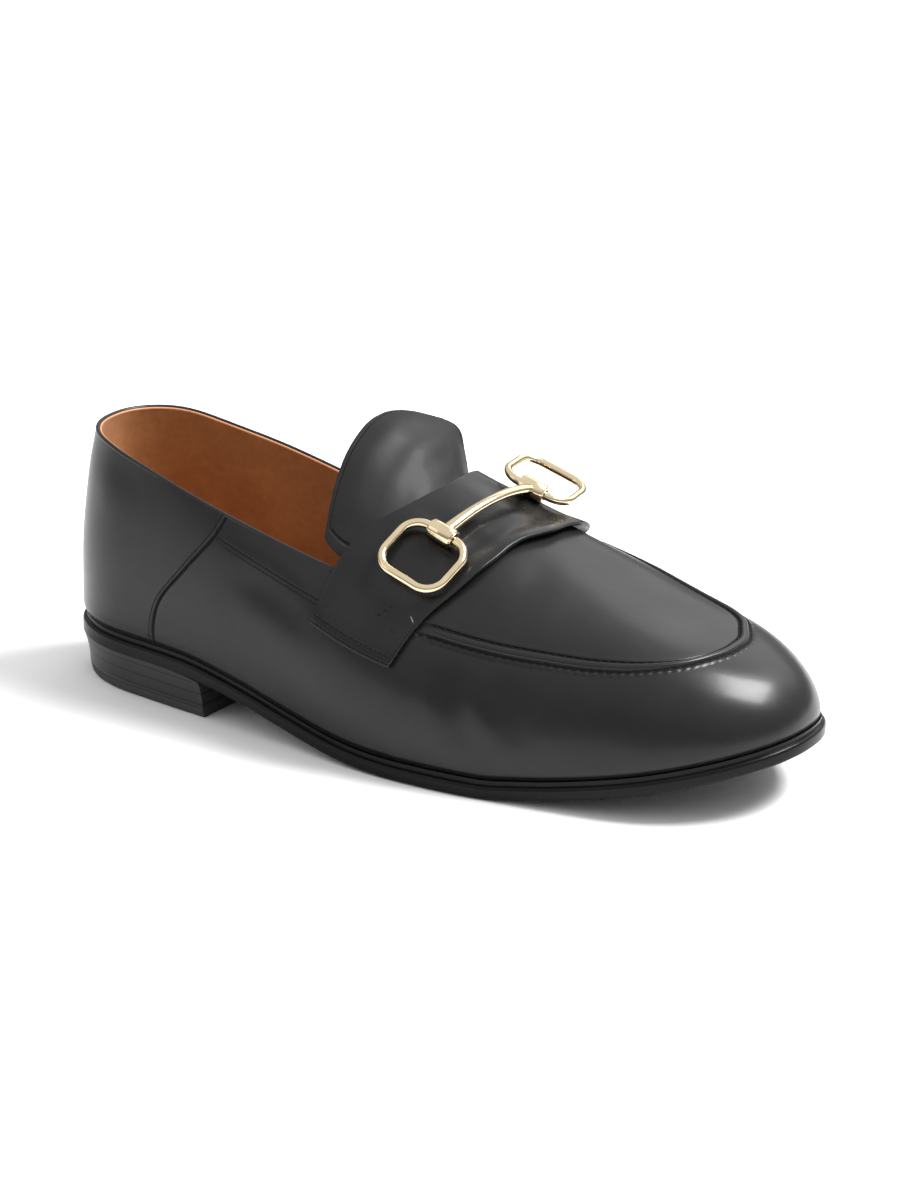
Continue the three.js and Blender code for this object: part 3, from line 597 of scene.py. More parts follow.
def build_upper(name, depth, relief):
    bm = bmesh.new()
    half = len(NEAR_SEAM) + APRON_FAR_ROWS

    def wall(i, j):
        index, side = perimeter(i)
        w = ROW_SHARES[j]
        t = station(index, w)
        up, distance = wall_up(t, side, j)
        point = rib_point(t, side, up)
        marks = {"lift": -depth, "seam": -99.0, "run": seam_run(t, side), "counter": 99.0, "band": 99.0}
        marks["foot"] = point.z - sole_top(t)
        if relief:
            marks["lift"] += soft_form(point, ease(up / 0.1)) + foot_tuck(point, t)
            if t < THROAT:
                marks["counter"] = counter_distance(t, w)
                outside_band = max(BAND_FROM - t, t - BAND_TO, 0) * LENGTH
                marks["band"] = distance - band_deep(t) + 9 * outside_band
                marks["lift"] += counter_relief(t, w)
            else:
                marks["seam"] = -distance
                marks["lift"] += seam_relief(t, side, -distance)
        return point, marks

    def apron(i, j):
        side = LATERAL if j <= half else MEDIAL
        t = station(THROAT_INDEX + i, 1.0)
        k = j if j <= half else 2 * half - j
        up, distance = apron_up(t, side, k) if k < half else (1.0, 99.0)
        point = rib_point(t, side, up)
        marks = {"lift": -depth, "seam": distance, "run": seam_run(t, side)}
        marks.update({"counter": 99.0, "band": 99.0, "foot": 99.0})
        if relief:
            marks["lift"] += seam_relief(t, side, distance) + soft_form(point)
        return point, marks

    add_grid(bm, 2 * SIDE_PARTS, WALL_ROWS, wall)
    add_grid(bm, SIDE_PARTS - THROAT_INDEX, 2 * half, apron)
    bmesh.ops.remove_doubles(bm, verts=bm.verts, dist=5e-6)
    bmesh.ops.recalc_face_normals(bm, faces=bm.faces)
    outside = max(bm.faces, key=lambda face: face.calc_center_median().y)
    return finish_mesh(bm, name, flip=outside.normal.y < 0)


LEATHER_THICK, LINING_THICK, SHEET_GAP = 1.1, 0.75, 0.1
upper_leather = thicken(build_upper("upper_leather", 0.0, True), LEATHER_THICK)
upper_lining = thicken(build_upper("upper_lining", LEATHER_THICK + SHEET_GAP, False), LINING_THICK)

# %% [markdown]
# At the collar the black leather is turned in over a cord, and the tan lining
# comes up behind it. Two thin rolls along the top line give those two edges.

# %% Collar binding
def rim_place(s):
    """Point, outward direction and upward direction on the rim at share s."""
    index = s * 2 * THROAT_INDEX
    side = LATERAL if index <= THROAT_INDEX else MEDIAL
    index = THROAT_INDEX - index if side == LATERAL else index - THROAT_INDEX
    low = math.floor(index)
    t = station(low, 1.0) * (1 - index + low) + station(min(low + 1, THROAT_INDEX), 1.0) * (index - low)
    up = parting_up(t, side)
    point = rib_point(t, side, up)
    outward = last_normal(max(t, 0.0006), side, up)
    if t < 0.0006:
        outward.y = 0
    rise = (point - rib_point(t, side, up - 0.03)).normalized()
    return point, outward.normalized(), rise


def rim_roll(name, inward, half_wide, half_high, drop):
    def place(k):
        point, outward, rise = rim_place(k / BINDING_PARTS)
        return point - outward * inward - rise * drop, outward * half_wide, rise * half_high

    return tube(name, BINDING_PARTS, 12, place)


BINDING_PARTS = 2 * THROAT_INDEX
collar_binding = rim_roll("collar_binding", 0.62, 0.78, 0.75, 0.1)
lining_edge = rim_roll("lining_edge", 1.62, 0.42, 0.5, 0.25)

# %% [markdown]
# The saddle is a strap of the same leather laid over the instep. It is cut wide
# on the ridge and narrow towards its two wings, and its front edge stands a
# little off the apron, so a dark line shows under it.

# %% Saddle
SADDLE_LIFT, SADDLE_THICK = 2.05, 1.5
EDGE_LIFT, EDGE_SOFT = 1.5, 0.15
SADDLE_COLUMNS, SADDLE_ROWS = 96, 30
SADDLE_FOOT = SADDLE["at"][0]


def saddle_up(s):
    side = LATERAL if s < 0 else MEDIAL
    far = reach_at(0.5, side, SADDLE_FOOT)
    return side, 1.0 if abs(s) < 1e-6 else up_at_reach(0.5, side, abs(s) * far)


def saddle_place(along, s):
    side, up = saddle_up(s)
    t = saddle_rear[side](up) * (1 - along) + saddle_front[side](up) * along
    return t, side, up


def under_saddle(along, s):
    return rib_point(*saddle_place(along, s))


SADDLE_CREASES = (
    crease(under_saddle, (0.1, -0.5), (0.55, -0.42), (1.1, -0.52), 3.5, 0.4),
    crease(under_saddle, (0.0, 0.16), (0.55, 0.08), (1.1, 0.14), 4.5, 0.4),
    crease(under_saddle, (0.72, -0.72), (0.8, -0.3), (0.74, 0.3), 3.0, 0.3),
    crease(under_saddle, (0.0, 0.62), (0.5, 0.55), (1.1, 0.64), 3.5, 0.35),
)


def saddle_point(along, s):
    t, side, up = saddle_place(along, s)
    near_front = math.exp(-(((1 - along) / EDGE_SOFT) ** 2))
    edge_lift = EDGE_LIFT * near_front * ease((up - 0.42) / 0.3)
    point = rib_point(t, side, up)
    wave = soft_wave(point, 15.0, 0.3) + crease_relief(point, SADDLE_CREASES)
    return last_point(t, side, up, SADDLE_LIFT + edge_lift + wave)


def build_saddle():
    bm = bmesh.new()

    def place(i, j):
        along, s = j / SADDLE_ROWS, 2 * i / SADDLE_COLUMNS - 1
        point = saddle_point(along, s)
        return point, {"hem": (point - saddle_point(along, math.copysign(1, s))).length}

    add_grid(bm, SADDLE_COLUMNS, SADDLE_ROWS, place)
    bm.normal_update()
    top = max(bm.faces, key=lambda face: face.calc_center_median().z)
    return finish_mesh(bm, "saddle_leather", flip=top.normal.z < 0)


saddle_leather = soften(thicken(build_saddle(), SADDLE_THICK), 0.45)

# %% [markdown]
# The tongue is a stiff flap with a round end that stands up behind the saddle.
# Each row of its table is an arch through three points. Tan lining is glued
# under it, so the tongue is two sheets, black above and tan below.

# %% Tongue
TONGUE_ARCH, DENT_DEEP, DENT_AT = 2.2, 0.9, 0.36
TONGUE_HALF, TONGUE_RUN = 36, 48
TONGUE_COLUMNS, TONGUE_ROWS = 96, 72


def tongue_point(step, s):
    edge = "l" if s < 0 else "m"
    bend = abs(s) ** TONGUE_ARCH

    def mix(axis, share):
        return tongue_at["c" + axis](step) * (1 - share) + tongue_at[edge + axis](step) * share

    return Vector((along_x(mix("x", bend)), BALL_WIDTH * mix("y", abs(s)), INSTEP * mix("z", bend)))


def tongue_share(i, j):
    """The far end of the sheet has round corners."""
    s, step = 2 * i / TONGUE_COLUMNS - 1, j / TONGUE_ROWS
    cut = 0.085 * abs(s) ** 5 * ease((step - 0.6) / 0.4)
    return step - cut, s


TONGUE_CREASES = (
    crease(tongue_point, (0.58, -0.75), (0.66, -0.1), (0.6, 0.6), 5.0, 0.6),
    crease(tongue_point, (0.93, 0.0), (0.82, 0.45), (0.62, 0.72), 4.0, 0.5),
    crease(tongue_point, (0.42, -0.8), (0.48, -0.3), (0.42, 0.3), 3.5, 0.4),
)


def tongue_relief(step, s, point):
    """A soft dent where the flap bends up behind the saddle, its creases, slight waves."""
    dent = -DENT_DEEP * math.exp(-((step - DENT_AT) / 0.11) ** 2 - ((s - 0.05) / 0.5) ** 2)
    return dent + crease_relief(point, TONGUE_CREASES) + soft_wave(point, 13.0, 0.4)


def build_tongue(name, depth):
    bm = bmesh.new()

    def place(i, j):
        step, s = tongue_share(i, j)
        point = tongue_point(step, s)
        hem = min((1 - abs(s)) * TONGUE_HALF, (1 - j / TONGUE_ROWS) * TONGUE_RUN)
        return point, {"lift": tongue_relief(step, s, point) - depth, "hem": hem}

    add_grid(bm, TONGUE_COLUMNS, TONGUE_ROWS, place)
    bm.normal_update()
    top = max(bm.faces, key=lambda face: face.calc_center_median().z)
    return finish_mesh(bm, name, flip=top.normal.z < 0)


TONGUE_THICK, TONGUE_LINED = 1.2, 0.6
tongue_leather = soften(thicken(build_tongue("tongue_leather", 0.0), TONGUE_THICK), 0.4)
tongue_lining = thicken(build_tongue("tongue_lining", TONGUE_THICK + SHEET_GAP), TONGUE_LINED)

# %% [markdown]
# Sole, heel and sock are plates cut to the outline. One section is a closed
# loop of points, each with its share across, its inset and its height. The grid
# carries that loop from heel to toe, and the two ends close on themselves.

# %% Plates cut to the outline
def plate(name, parts, section, place, angle=50):
    def around(i, j):
        return place(i / parts, *section[j % len(section)]), {}

    return loft(name, parts, len(section), around, angle)


def across(t_lateral, t_medial, share, inset):
    lateral, medial = edge_point(t_lateral, LATERAL, inset), edge_point(t_medial, MEDIAL, inset)
    return lateral + (medial - lateral) * ((share + 1) / 2)


def both_sides(profile, flat=6):
    """Section from the bottom, up the medial side, over the top and down."""
    low, high = profile[0], profile[-1]
    loop = [(1.0, inset, height) for inset, height in profile]
    loop += [(1 - 2 * k / flat, high[0], high[1]) for k in range(1, flat)]
    loop += [(-1.0, inset, height) for inset, height in reversed(profile)]
    loop += [(2 * k / flat - 1, low[0], low[1]) for k in range(1, flat)]
    return loop


def spread(s):
    return 0.5 - 0.5 * math.cos(s * math.pi)


GROOVE_AT, GROOVE_DEEP = SOLE_THICK - 1.8, 1.5
SOLE_EDGE = (
    (1.1, 0.0), (0.6, 0.12), (0.25, 0.4), (0.05, 0.85), (0.0, 1.4), (0.0, 3.4),
    (0.08, 4.0), (0.3, 4.45), (0.65, GROOVE_AT), (1.1, GROOVE_AT + 0.05),
    (GROOVE_DEEP, GROOVE_AT + 0.2), (GROOVE_DEEP, SOLE_THICK),
)


def sole_place(s, share, inset, height):
    t = spread(s)
    if height < 1.2:
        inset *= ease((t - BREAST_AT) / 0.02)
    plan = across(t, t, share, inset)
    return Vector((plan.x, plan.y, sole_bottom(t) + height))


BREAST_AT, BREAST_SKEW, HEEL_TAPER, LIFT_THICK = 0.252, 0.02, 2.2, 3.2
outsole_leather = plate("outsole_leather", 150, both_sides(SOLE_EDGE), sole_place)

# %% Heel block and top lift
def heel_place(s, share, inset, height):
    """height from 0 to 1 runs from the lift to the underside of the outsole."""
    run = 1 - math.cos(s * math.pi / 2)
    t = [run * (BREAST_AT + side * BREAST_SKEW / 2) for side in (LATERAL, MEDIAL)]
    plan = across(t[0], t[1], share, inset)
    middle = (t[0] + t[1]) / 2
    low, high = LIFT_THICK + 0.08, sole_bottom(middle) - 0.02
    return Vector((plan.x, plan.y, low + (high - low) * height))


def lift_place(s, share, inset, height):
    point = heel_place(s, share, inset, 0)
    point.z = height
    return point


def heel_inset(height):
    return 0.06 + HEEL_TAPER * (1 - height ** 2)


heel_profile = [(heel_inset(0) + 0.3, 0.0)] + [(heel_inset(k / 6), max(k / 6, 0.03)) for k in range(7)]
lift_profile = [
    (heel_inset(0) + 1.1, 0.0), (heel_inset(0) + 0.75, 0.12), (heel_inset(0) + 0.55, 0.45),
    (heel_inset(0) + 0.1, LIFT_THICK - 0.35), (heel_inset(0) + 0.35, LIFT_THICK),
]
heel_stack = plate("heel_stack", 60, both_sides(heel_profile), heel_place)
top_lift_rubber = plate("top_lift_rubber", 60, both_sides(lift_profile), lift_place)

# %% [markdown]
# Inside lies the sock, a thin tan leather on the insole. It dips a little at the
# heel and rolls down at its edge, so it reads as soft when seen from above.

# %% Insole and sock
SOCK_CLEAR = WALL + JOINT + 0.3
SOCK_EDGE = ((0.3, 0.3), (0.0, 0.6), (0.0, 2.6), (0.35, 3.2), (1.0, 3.45))


def sock_place(s, share, inset, height):
    t = spread(s)
    plan = across(t, t, share, WALL * feather_at(t) + SOCK_CLEAR + inset)
    dish = 0.35 * (1 - share * share) if height > 3 else 0.0
    return Vector((plan.x, plan.y, sole_top(t) + height - dish))


insole_sock = plate("insole_sock", 110, both_sides(SOCK_EDGE, 12), sock_place, 60)

# %% [markdown]
# The metal piece is generic: a bowed bar between two plain sleeves, with a plain
# closed link in each. The link starts as a circle that is spun round the four
# corners and pushed along the four straights, as a bender makes it from rod.

# %% Frames of the two sleeves
SLEEVE_WIDE, SLEEVE_LONG, WIRE = 6.8, 10.0, 3.1
LINK_LONG, LINK_WIDE, LINK_CORNER = 25.0, 22.0, 7.0
BAR_WIDE, BAR_WAIST, BAR_BOW = 4.4, 0.75, 4.4
SADDLE_GAP, SADDLE_SHEET = 0.45, 1.6
SLEEVES = {LATERAL: (0.547, 0.72), MEDIAL: (0.576, 0.93)}
LINK_TILT = {LATERAL: 0.0, MEDIAL: 24.0}


def sleeve_frame(side):
    t, up = SLEEVES[side]
    lift = SADDLE_GAP + SADDLE_SHEET + JOINT + SLEEVE_WIDE / 2
    centre = last_point(t, side, up, lift)
    along = (last_point(t + 0.02, side, up, lift) - centre).normalized()
    outward = last_point(t, side, up - 0.12, lift) - centre
    normal = along.cross(outward).normalized() * side
    outer = normal.cross(along).normalized() * side
    matrix = Matrix((along, outer, along.cross(outer))).transposed().to_4x4()
    matrix.translation = centre
    return matrix


sleeve_frames = {side: sleeve_frame(side) for side in (LATERAL, MEDIAL)}
print("sleeves at", [[round(v, 1) for v in m.translation] for m in sleeve_frames.values()])


# %% Links
def place_in_frame(bm, matrix):
    bmesh.ops.transform(bm, matrix=Matrix.Scale(MM, 4) @ matrix, verts=bm.verts)


def build_link(name, matrix):
    bm = bmesh.new()
    straight = (LINK_LONG / 2 - LINK_CORNER, LINK_WIDE / 2 - LINK_CORNER)
    first = Matrix.Translation((straight[0] + LINK_CORNER, straight[1], 0))
    start = first @ Matrix.Rotation(math.pi / 2, 4, "X")
    ring = bmesh.ops.create_circle(bm, cap_ends=False, radius=WIRE / 2, segments=24, matrix=start)["verts"]
    edges = list({edge for vert in ring for edge in vert.link_edges})
    corners = [(1, 1), (-1, 1), (-1, -1), (1, -1)]
    for (a, b), (c, d) in zip(corners, corners[1:] + corners[:1]):
        centre = (a * straight[0], b * straight[1], 0)
        move = ((c - a) * straight[0], (d - b) * straight[1], 0)
        turned = bmesh.ops.spin(bm, geom=edges, cent=centre, axis=(0, 0, 1), angle=math.pi / 2, steps=12)
        edges = [item for item in turned["geom_last"] if isinstance(item, bmesh.types.BMEdge)]
        pushed = bmesh.ops.extrude_edge_only(bm, edges=edges)["geom"]
        verts = [item for item in pushed if isinstance(item, bmesh.types.BMVert)]
        bmesh.ops.translate(bm, vec=move, verts=verts)
        edges = [item for item in pushed if isinstance(item, bmesh.types.BMEdge)]
        edges = [edge for edge in edges if all(vert in set(verts) for vert in edge.verts)]
    bmesh.ops.remove_doubles(bm, verts=bm.verts, dist=0.01)
    bmesh.ops.translate(bm, vec=(0, LINK_WIDE / 2, 0), verts=bm.verts)
    place_in_frame(bm, matrix)
    bmesh.ops.recalc_face_normals(bm, faces=bm.faces)
    return finish_mesh(bm, name)


def leaned(side):
    """The link turns in its sleeve and stands off the leather by its tilt."""
    return sleeve_frames[side] @ Matrix.Rotation(math.radians(LINK_TILT[side]), 4, "X")


link_lateral = build_link("link_lateral", leaned(LATERAL))
link_medial = build_link("link_medial", leaned(MEDIAL))

# %% [markdown]
# A sleeve is turned on a lathe: half of its section is spun once round its axis.
# The bar is cast with a slim waist and a raised middle line, so it is a tube
# whose half axes change along a bow from one sleeve to the other.

# %% Bar with its sleeves
SLEEVE_HALF = ((0.0, 1.0), (0.42, 1.0), (0.46, 0.93), (0.47, 0.84), (0.5, 0.8), (0.5, 0.6))


def build_sleeve(name, matrix):
    bm = bmesh.new()
    half = [(x * SLEEVE_LONG, r * SLEEVE_WIDE / 2) for x, r in SLEEVE_HALF]
    profile = [(-x, r) for x, r in reversed(half)] + half[1:]
    verts = [bm.verts.new((x, r, 0)) for x, r in profile]
    edges = [bm.edges.new(pair) for pair in zip(verts, verts[1:])]
    bmesh.ops.spin(
        bm, geom=verts + edges, cent=(0, 0, 0), axis=(1, 0, 0), angle=2 * math.pi, steps=40, use_merge=True
    )
    bmesh.ops.remove_doubles(bm, verts=bm.verts, dist=0.005)
    place_in_frame(bm, matrix)
    bmesh.ops.recalc_face_normals(bm, faces=bm.faces)
    return finish_mesh(bm, name, angle=32)


def bar_place(k):
    s = k / BAR_PARTS
    a, b = sleeve_frames[LATERAL], sleeve_frames[MEDIAL]
    start, end = a.translation, b.translation
    normal = a.col[2].xyz.lerp(b.col[2].xyz * (1 if a.col[2].xyz.dot(b.col[2].xyz) > 0 else -1), s)
    if normal.z < 0:
        normal = -normal
    normal.normalize()
    ahead = (end - start).normalized()
    wide = ahead.cross(normal).normalized()
    flare = (2 * s - 1) ** 2
    radius = BAR_WIDE / 2 * (BAR_WAIST + (1 - BAR_WAIST) * flare)
    centre = start.lerp(end, s) + normal * (4 * s * (1 - s) * BAR_BOW)
    return centre, wide * radius * 1.1, normal * radius * 0.85


BAR_PARTS = 40
sleeve_lateral = build_sleeve("sleeve_lateral", sleeve_frames[LATERAL])
sleeve_medial = build_sleeve("sleeve_medial", sleeve_frames[MEDIAL])
bar_metal = tube("bar_metal", BAR_PARTS, 24, bar_place)

# %% [markdown]
# Stitches are small beads of thread, a few faces each, set end to end in the
# row that an awl has pricked. Each row follows a line on the last.

# %% Rows of stitches
STITCH_LONG, STITCH_GAP, STITCH_WIDE = 1.9, 0.75, 0.55


def walk(points, pitch):
    """Places every pitch mm along a line of (point, normal)."""
    done, left = [], pitch / 2
    for (a, na), (b, nb) in zip(points, points[1:]):
        length = (b - a).length
        while left < length:
            share = left / length
            done.append((a.lerp(b, share), na.lerp(nb, share).normalized(), (b - a).normalized()))
            left += pitch
        left -= length
    return done


def stitch_rows(name, rows, long=STITCH_LONG, gap=STITCH_GAP, wide=STITCH_WIDE, sunk=0.1):
    bm = bmesh.new()
    for points in rows:
        for centre, normal, ahead in walk(points, long + gap):
            across_axis = normal.cross(ahead).normalized()
            up_axis = ahead.cross(across_axis).normalized()
            turn = Matrix((ahead, across_axis, up_axis)).transposed().to_4x4()
            turn.translation = centre - normal * sunk
            size = Matrix.Diagonal((long / 2, wide / 2, wide / 2, 1))
            bmesh.ops.create_icosphere(bm, subdivisions=1, radius=1, matrix=Matrix.Scale(MM, 4) @ turn @ size)
    return finish_mesh(bm, name, merge=1e-9)


def last_row(side, track, lift):
    """A line on the last: track is a list of (t, up)."""
    return [(last_point(t, side, up, lift), last_normal(t, side, up)) for t, up in track]


def band_track(side):
    """The lower line of the collar band, from the counter seam to the saddle."""
    return [(t, parting_up(t, side) - band_deep(t) / climb(t, side)) for t in steps(0.281, 0.43, 60)]


def seam_track(side, offset):
    """A line beside the apron seam, offset mm from it: below 0 on the wall, above 0 on the apron."""
    first = saddle_front[side](apron_at[side](0.6)) + 0.012
    track = []
    for s in steps(0, 1, 160):
        t = min(first + (1.0 - first) * math.sin(s * math.pi / 2), 0.9994)
        if offset < 0:
            track.append((t, parting_up(t, side) + offset / climb(t, side)))
        else:
            edge, speed = apron_reach(t, side)
            track.append((t, up_at_reach(t, side, edge - offset / speed)))
    return track


seam_rows = []
for side in (LATERAL, MEDIAL):
    seam_rows.append(last_row(side, seam_track(side, -1.9), -0.12))
    seam_rows.append(last_row(side, seam_track(side, 1.6), 0.02))
apron_stitches = stitch_rows("apron_stitches", seam_rows, 2.6, 0.5, 0.5, 0.05)

quarter_rows = []
for side in (LATERAL, MEDIAL):
    quarter_rows.append(last_row(side, band_track(side), -0.02))
    for shift in (-1.9, -3.1):
        places = [(counter_at(ROW_SHARES[j]) + shift / LENGTH, j) for j in range(1, WALL_ROWS)]
        quarter_rows.append(last_row(side, [(t, wall_up(t, side, j)[0]) for t, j in places], 0.3))
quarter_stitches = stitch_rows("quarter_stitches", quarter_rows, 1.5, 0.6, 0.36, 0.1)


# %% Stitches of the saddle and the tongue
def saddle_row(pairs):
    row = []
    for along, s in pairs:
        row.append((saddle_point(along, s), last_normal(*saddle_place(along, s))))
    return row


def hem_share(distance, along, sign):
    """Share across the saddle that lies a distance in mm above the hem of a wing."""
    low, high = 0.6, 1.0
    foot = saddle_point(along, sign)
    for _ in range(20):
        middle = (low + high) / 2
        if (saddle_point(along, sign * middle) - foot).length > distance:
            low = middle
        else:
            high = middle
    return sign * (low + high) / 2


saddle_rows = []
for sign in (-1, 1):
    for distance in (1.2, 3.8):
        hem_line = [(along, hem_share(distance, along, sign)) for along in steps(0.05, 0.95)]
        saddle_rows.append(saddle_row(hem_line))
saddle_stitches = stitch_rows("saddle_stitches", saddle_rows, 1.5, 0.6, 0.4, 0.12)

# Two short tacks hold the front of each wing, beside a small slit in its edge.
# A mark runs between two shares along the wing and two heights above its hem.
LONG_TACK, SHORT_TACK = (0.69, 0.6, 21, 13.5, 0.7, 16), (0.8, 0.88, 12.3, 12.3, 0.85, 6)
SLIT = (0.87, 0.97, 20, 17.5, 0.95, 8)


def wing_mark(first, final, high, low, beside, count):
    rows = []
    for sign in (-1, 1):
        line = [
            (first + (final - first) * k, hem_share(high + (low - high) * k, beside, sign))
            for k in steps(0, 1, count)
        ]
        rows.append(saddle_row(line))
    return rows


tack_rows = wing_mark(*LONG_TACK) + wing_mark(*SHORT_TACK)
wing_tacks = stitch_rows("wing_tacks", tack_rows, 2.4, 0.1, 0.9, 0.2)
wing_slits = stitch_rows("wing_slits", wing_mark(*SLIT), 3.6, 0.1, 0.55, 0.1)


def tongue_row():
    row = []
    path = [(0.945, step) for step in steps(0.42, 0.93, 30)]
    path += [(s, 0.945) for s in steps(0.93, -0.93, 70)]
    path += [(-0.945, step) for step in steps(0.93, 0.2, 40)]
    for s, step in path:
        i, j = (s + 1) / 2 * TONGUE_COLUMNS, step * TONGUE_ROWS
        here = tongue_point(*tongue_share(i, j))
        ahead = tongue_point(*tongue_share(i, j + 0.5)) - here
        aside = tongue_point(*tongue_share(i + 0.5, j)) - here
        normal = aside.cross(ahead).normalized()
        if normal.z < 0:
            normal = -normal
        here = here + normal * (tongue_relief(step, s, here) + 0.02)
        row.append((here, normal))
    return row


tongue_stitches = stitch_rows("tongue_stitches", [tongue_row()], 1.6, 0.6, 0.36, 0.12)

# %% [markdown]
# Shader maths is easier to read as sums. The class holds one socket and adds a
# Math node for each sign between two of them. Colours go through Mix nodes.

# %% Sockets as numbers
class Socket:
    def __init__(self, tree, socket):
        self.tree, self.socket = tree, socket

    def node(self, kind, settings=None, **inputs):
        made = self.tree.nodes.new(kind)
        for name, value in (settings or {}).items():
            setattr(made, name, value)
        for name, value in inputs.items():
            key = int(name[1:]) if name[1:].isdigit() else name.replace("_", " ")
            target = made.inputs[key]
            if isinstance(value, Socket):
                self.tree.links.new(value.socket, target)
            else:
                target.default_value = value
        return made

    def out(self, made, name=0):
        return Socket(self.tree, made.outputs[name])

    def math(self, operation, a, b=0.0):
        return self.out(self.node("ShaderNodeMath", {"operation": operation}, i0=a, i1=b))

    def sign(operation, swapped=False):
        def method(self, other):
            return self.math(operation, *((other, self) if swapped else (self, other)))
        return method

    __add__, __radd__ = sign("ADD"), sign("ADD", True)
    __sub__, __rsub__ = sign("SUBTRACT"), sign("SUBTRACT", True)
    __mul__, __rmul__ = sign("MULTIPLY"), sign("MULTIPLY", True)

    def cosine(self):
        return self.math("COSINE", self)

    def sine(self):
        return self.math("SINE", self)

    def around(self, middle, wide):
        """1 at the middle, falling to 0 a width away."""
        return 1 - self.math("ABSOLUTE", self - middle).smooth(0.0, wide)

    def smooth(self, low, high):
        """0 at low, 1 at high, soft between."""
        return self.out(
            self.node("ShaderNodeMapRange", {"interpolation_type": "SMOOTHSTEP"}, i0=self, i1=low, i2=high)
        )

    def noise(self, scale, detail=3.0, rough=0.5):
        made = self.node("ShaderNodeTexNoise", None, Vector=self, Scale=scale, Detail=detail, Roughness=rough)
        return self.out(made, "Fac")

    def cells(self, scale):
        made = self.node("ShaderNodeTexVoronoi", None, Vector=self, Scale=scale)
        return self.out(made, "Distance")

    def stretch(self, x, y, z):
        made = self.node("ShaderNodeVectorMath", {"operation": "MULTIPLY"}, i0=self, i1=(x, y, z))
        return self.out(made)

    def mix(self, dark, light):
        """Colour between two, by this value."""
        made = self.node("ShaderNodeMix", {"data_type": "RGBA"}, i0=self, i6=dark, i7=light)
        return self.out(made, 2)

    def bump(self, strength, distance, normal=None):
        made = self.node("ShaderNodeBump", None, Height=self, Strength=strength, Distance=distance)
        if normal:
            self.tree.links.new(normal.socket, made.inputs["Normal"])
        return self.out(made)


def new_material(name):
    material = bpy.data.materials.new(name)
    material.use_nodes = True
    tree = material.node_tree
    shader = tree.nodes["Principled BSDF"]
    start = Socket(tree, None)
    place = start.out(start.node("ShaderNodeTexCoord"), "Object")
    return material, shader, place


def connect(shader, **inputs):
    tree = shader.id_data
    for name, value in inputs.items():
        target = shader.inputs[name.replace("_", " ")]
        if isinstance(value, Socket):
            tree.links.new(value.socket, target)
        else:
            target.default_value = value


def attribute(place, name):
    return place.out(place.node("ShaderNodeAttribute", {"attribute_name": name}), "Fac")


# %% [markdown]
# Smooth black calf is hardly black: it shines back the room. The grain is very
# fine pores in slightly larger soft plates. Polish gathers unevenly, so the
# roughness drifts over a few centimetres. Along the grooves of seams the leather
# is duller, and painted shade darkens their colour.

# %% Black calf
def grey(value):
    return (value, value, value * 1.03, 1.0)


def black_calf(name, rough=0.34, grooves=(), pucker=False, coat=0.12):
    """grooves: rows of mark, place in mm, half width in mm."""
    material, shader, place = new_material(name)
    pores = place.cells(1900.0)
    plates = place.noise(620.0, 4.0, 0.6)
    drift = place.noise(38.0, 3.0, 0.55)
    cloud = place.noise(90.0, 4.0, 0.6)
    colour = cloud.mix(grey(0.006), grey(0.011))
    roughness = rough + (drift - 0.5) * 0.14 + (plates - 0.5) * 0.05
    form = place.noise(170.0, 2.0, 0.5).bump(0.12, 0.0004)
    if grooves:
        lines = [attribute(place, mark).around(at, wide) for mark, at, wide in grooves]
        dull_and_shade = lines[0]
        for line in lines[1:]:
            dull_and_shade = dull_and_shade + line
        roughness = roughness + dull_and_shade * 0.4
        coat = coat * (1 - dull_and_shade)
        # Painted shade: along the groove lines the colour is darkened where shade falls into seams and under
        # edges; the added roughness and thinner coat are real dulling.
        colour = dull_and_shade.mix(colour, grey(0.0015))
        if pucker:
            fold = (attribute(place, "run") * (2 * math.pi / 3.1)).cosine()
            form = (fold * attribute(place, "seam").around(-2.9, 1.7)).bump(0.5, 0.0003, form)
        form = (1 - dull_and_shade).bump(1.0, 0.0004, form)
    grain = pores.smooth(0.0, 0.55) * 0.35 + plates * 0.65
    connect(
        shader, Base_Color=colour, Roughness=roughness, Normal=grain.bump(0.16, 0.00012, form),
        Specular_IOR_Level=0.2, Coat_Weight=coat, Coat_Roughness=0.17,
    )
    return material


# Lines whose colour black_calf darkens as painted shade: the seam, band and counter grooves, and the foot of
# the upper, where a painted shadow line runs along the sole.
UPPER_GROOVES = (
    ("seam", -2.2, 1.2), ("seam", 1.65, 0.7), ("band", 0.0, 0.6), ("band", 1.7, 0.4),
    ("counter", 0.3, 0.75), ("counter", -1.3, 0.35), ("foot", 0.0, 2.4),
)
calf = black_calf("black_calf", 0.33, UPPER_GROOVES, True)
# Painted shade along the two hem lines of each saddle wing and along the hem line of the tongue, beside their
# stitch rows.
calf_strap = black_calf("black_calf_strap", 0.27, (("hem", 1.2, 0.5), ("hem", 3.8, 0.4)), coat=0.06)
calf_tongue = black_calf("black_calf_tongue", 0.56, (("hem", 2.0, 0.45),), coat=0.02)


# %% Thread and binding
def thread():
    material, shader, place = new_material("black_thread")
    twist = place.noise(2600.0, 2.0, 0.6)
    connect(
        shader, Base_Color=twist.mix(grey(0.004), grey(0.014)), Roughness=0.75 + (twist - 0.5) * 0.2,
        Normal=twist.bump(0.3, 0.0001), Specular_IOR_Level=0.15,
    )
    return material


def cut_edge():
    material, shader, place = new_material("cut_leather_edge")
    fibre = place.noise(1800.0, 3.0, 0.6)
    connect(shader, Base_Color=fibre.mix(grey(0.1), grey(0.2)), Roughness=0.6, Normal=fibre.bump(0.3, 0.0001))
    return material


black_thread, raw_edge = thread(), cut_edge()
calf_binding = black_calf("black_calf_binding", 0.38)


# %% [markdown]
# The lining is tan calf, softer and matt, a little darker where it is handled
# and with fine pores. The sock is the same leather.

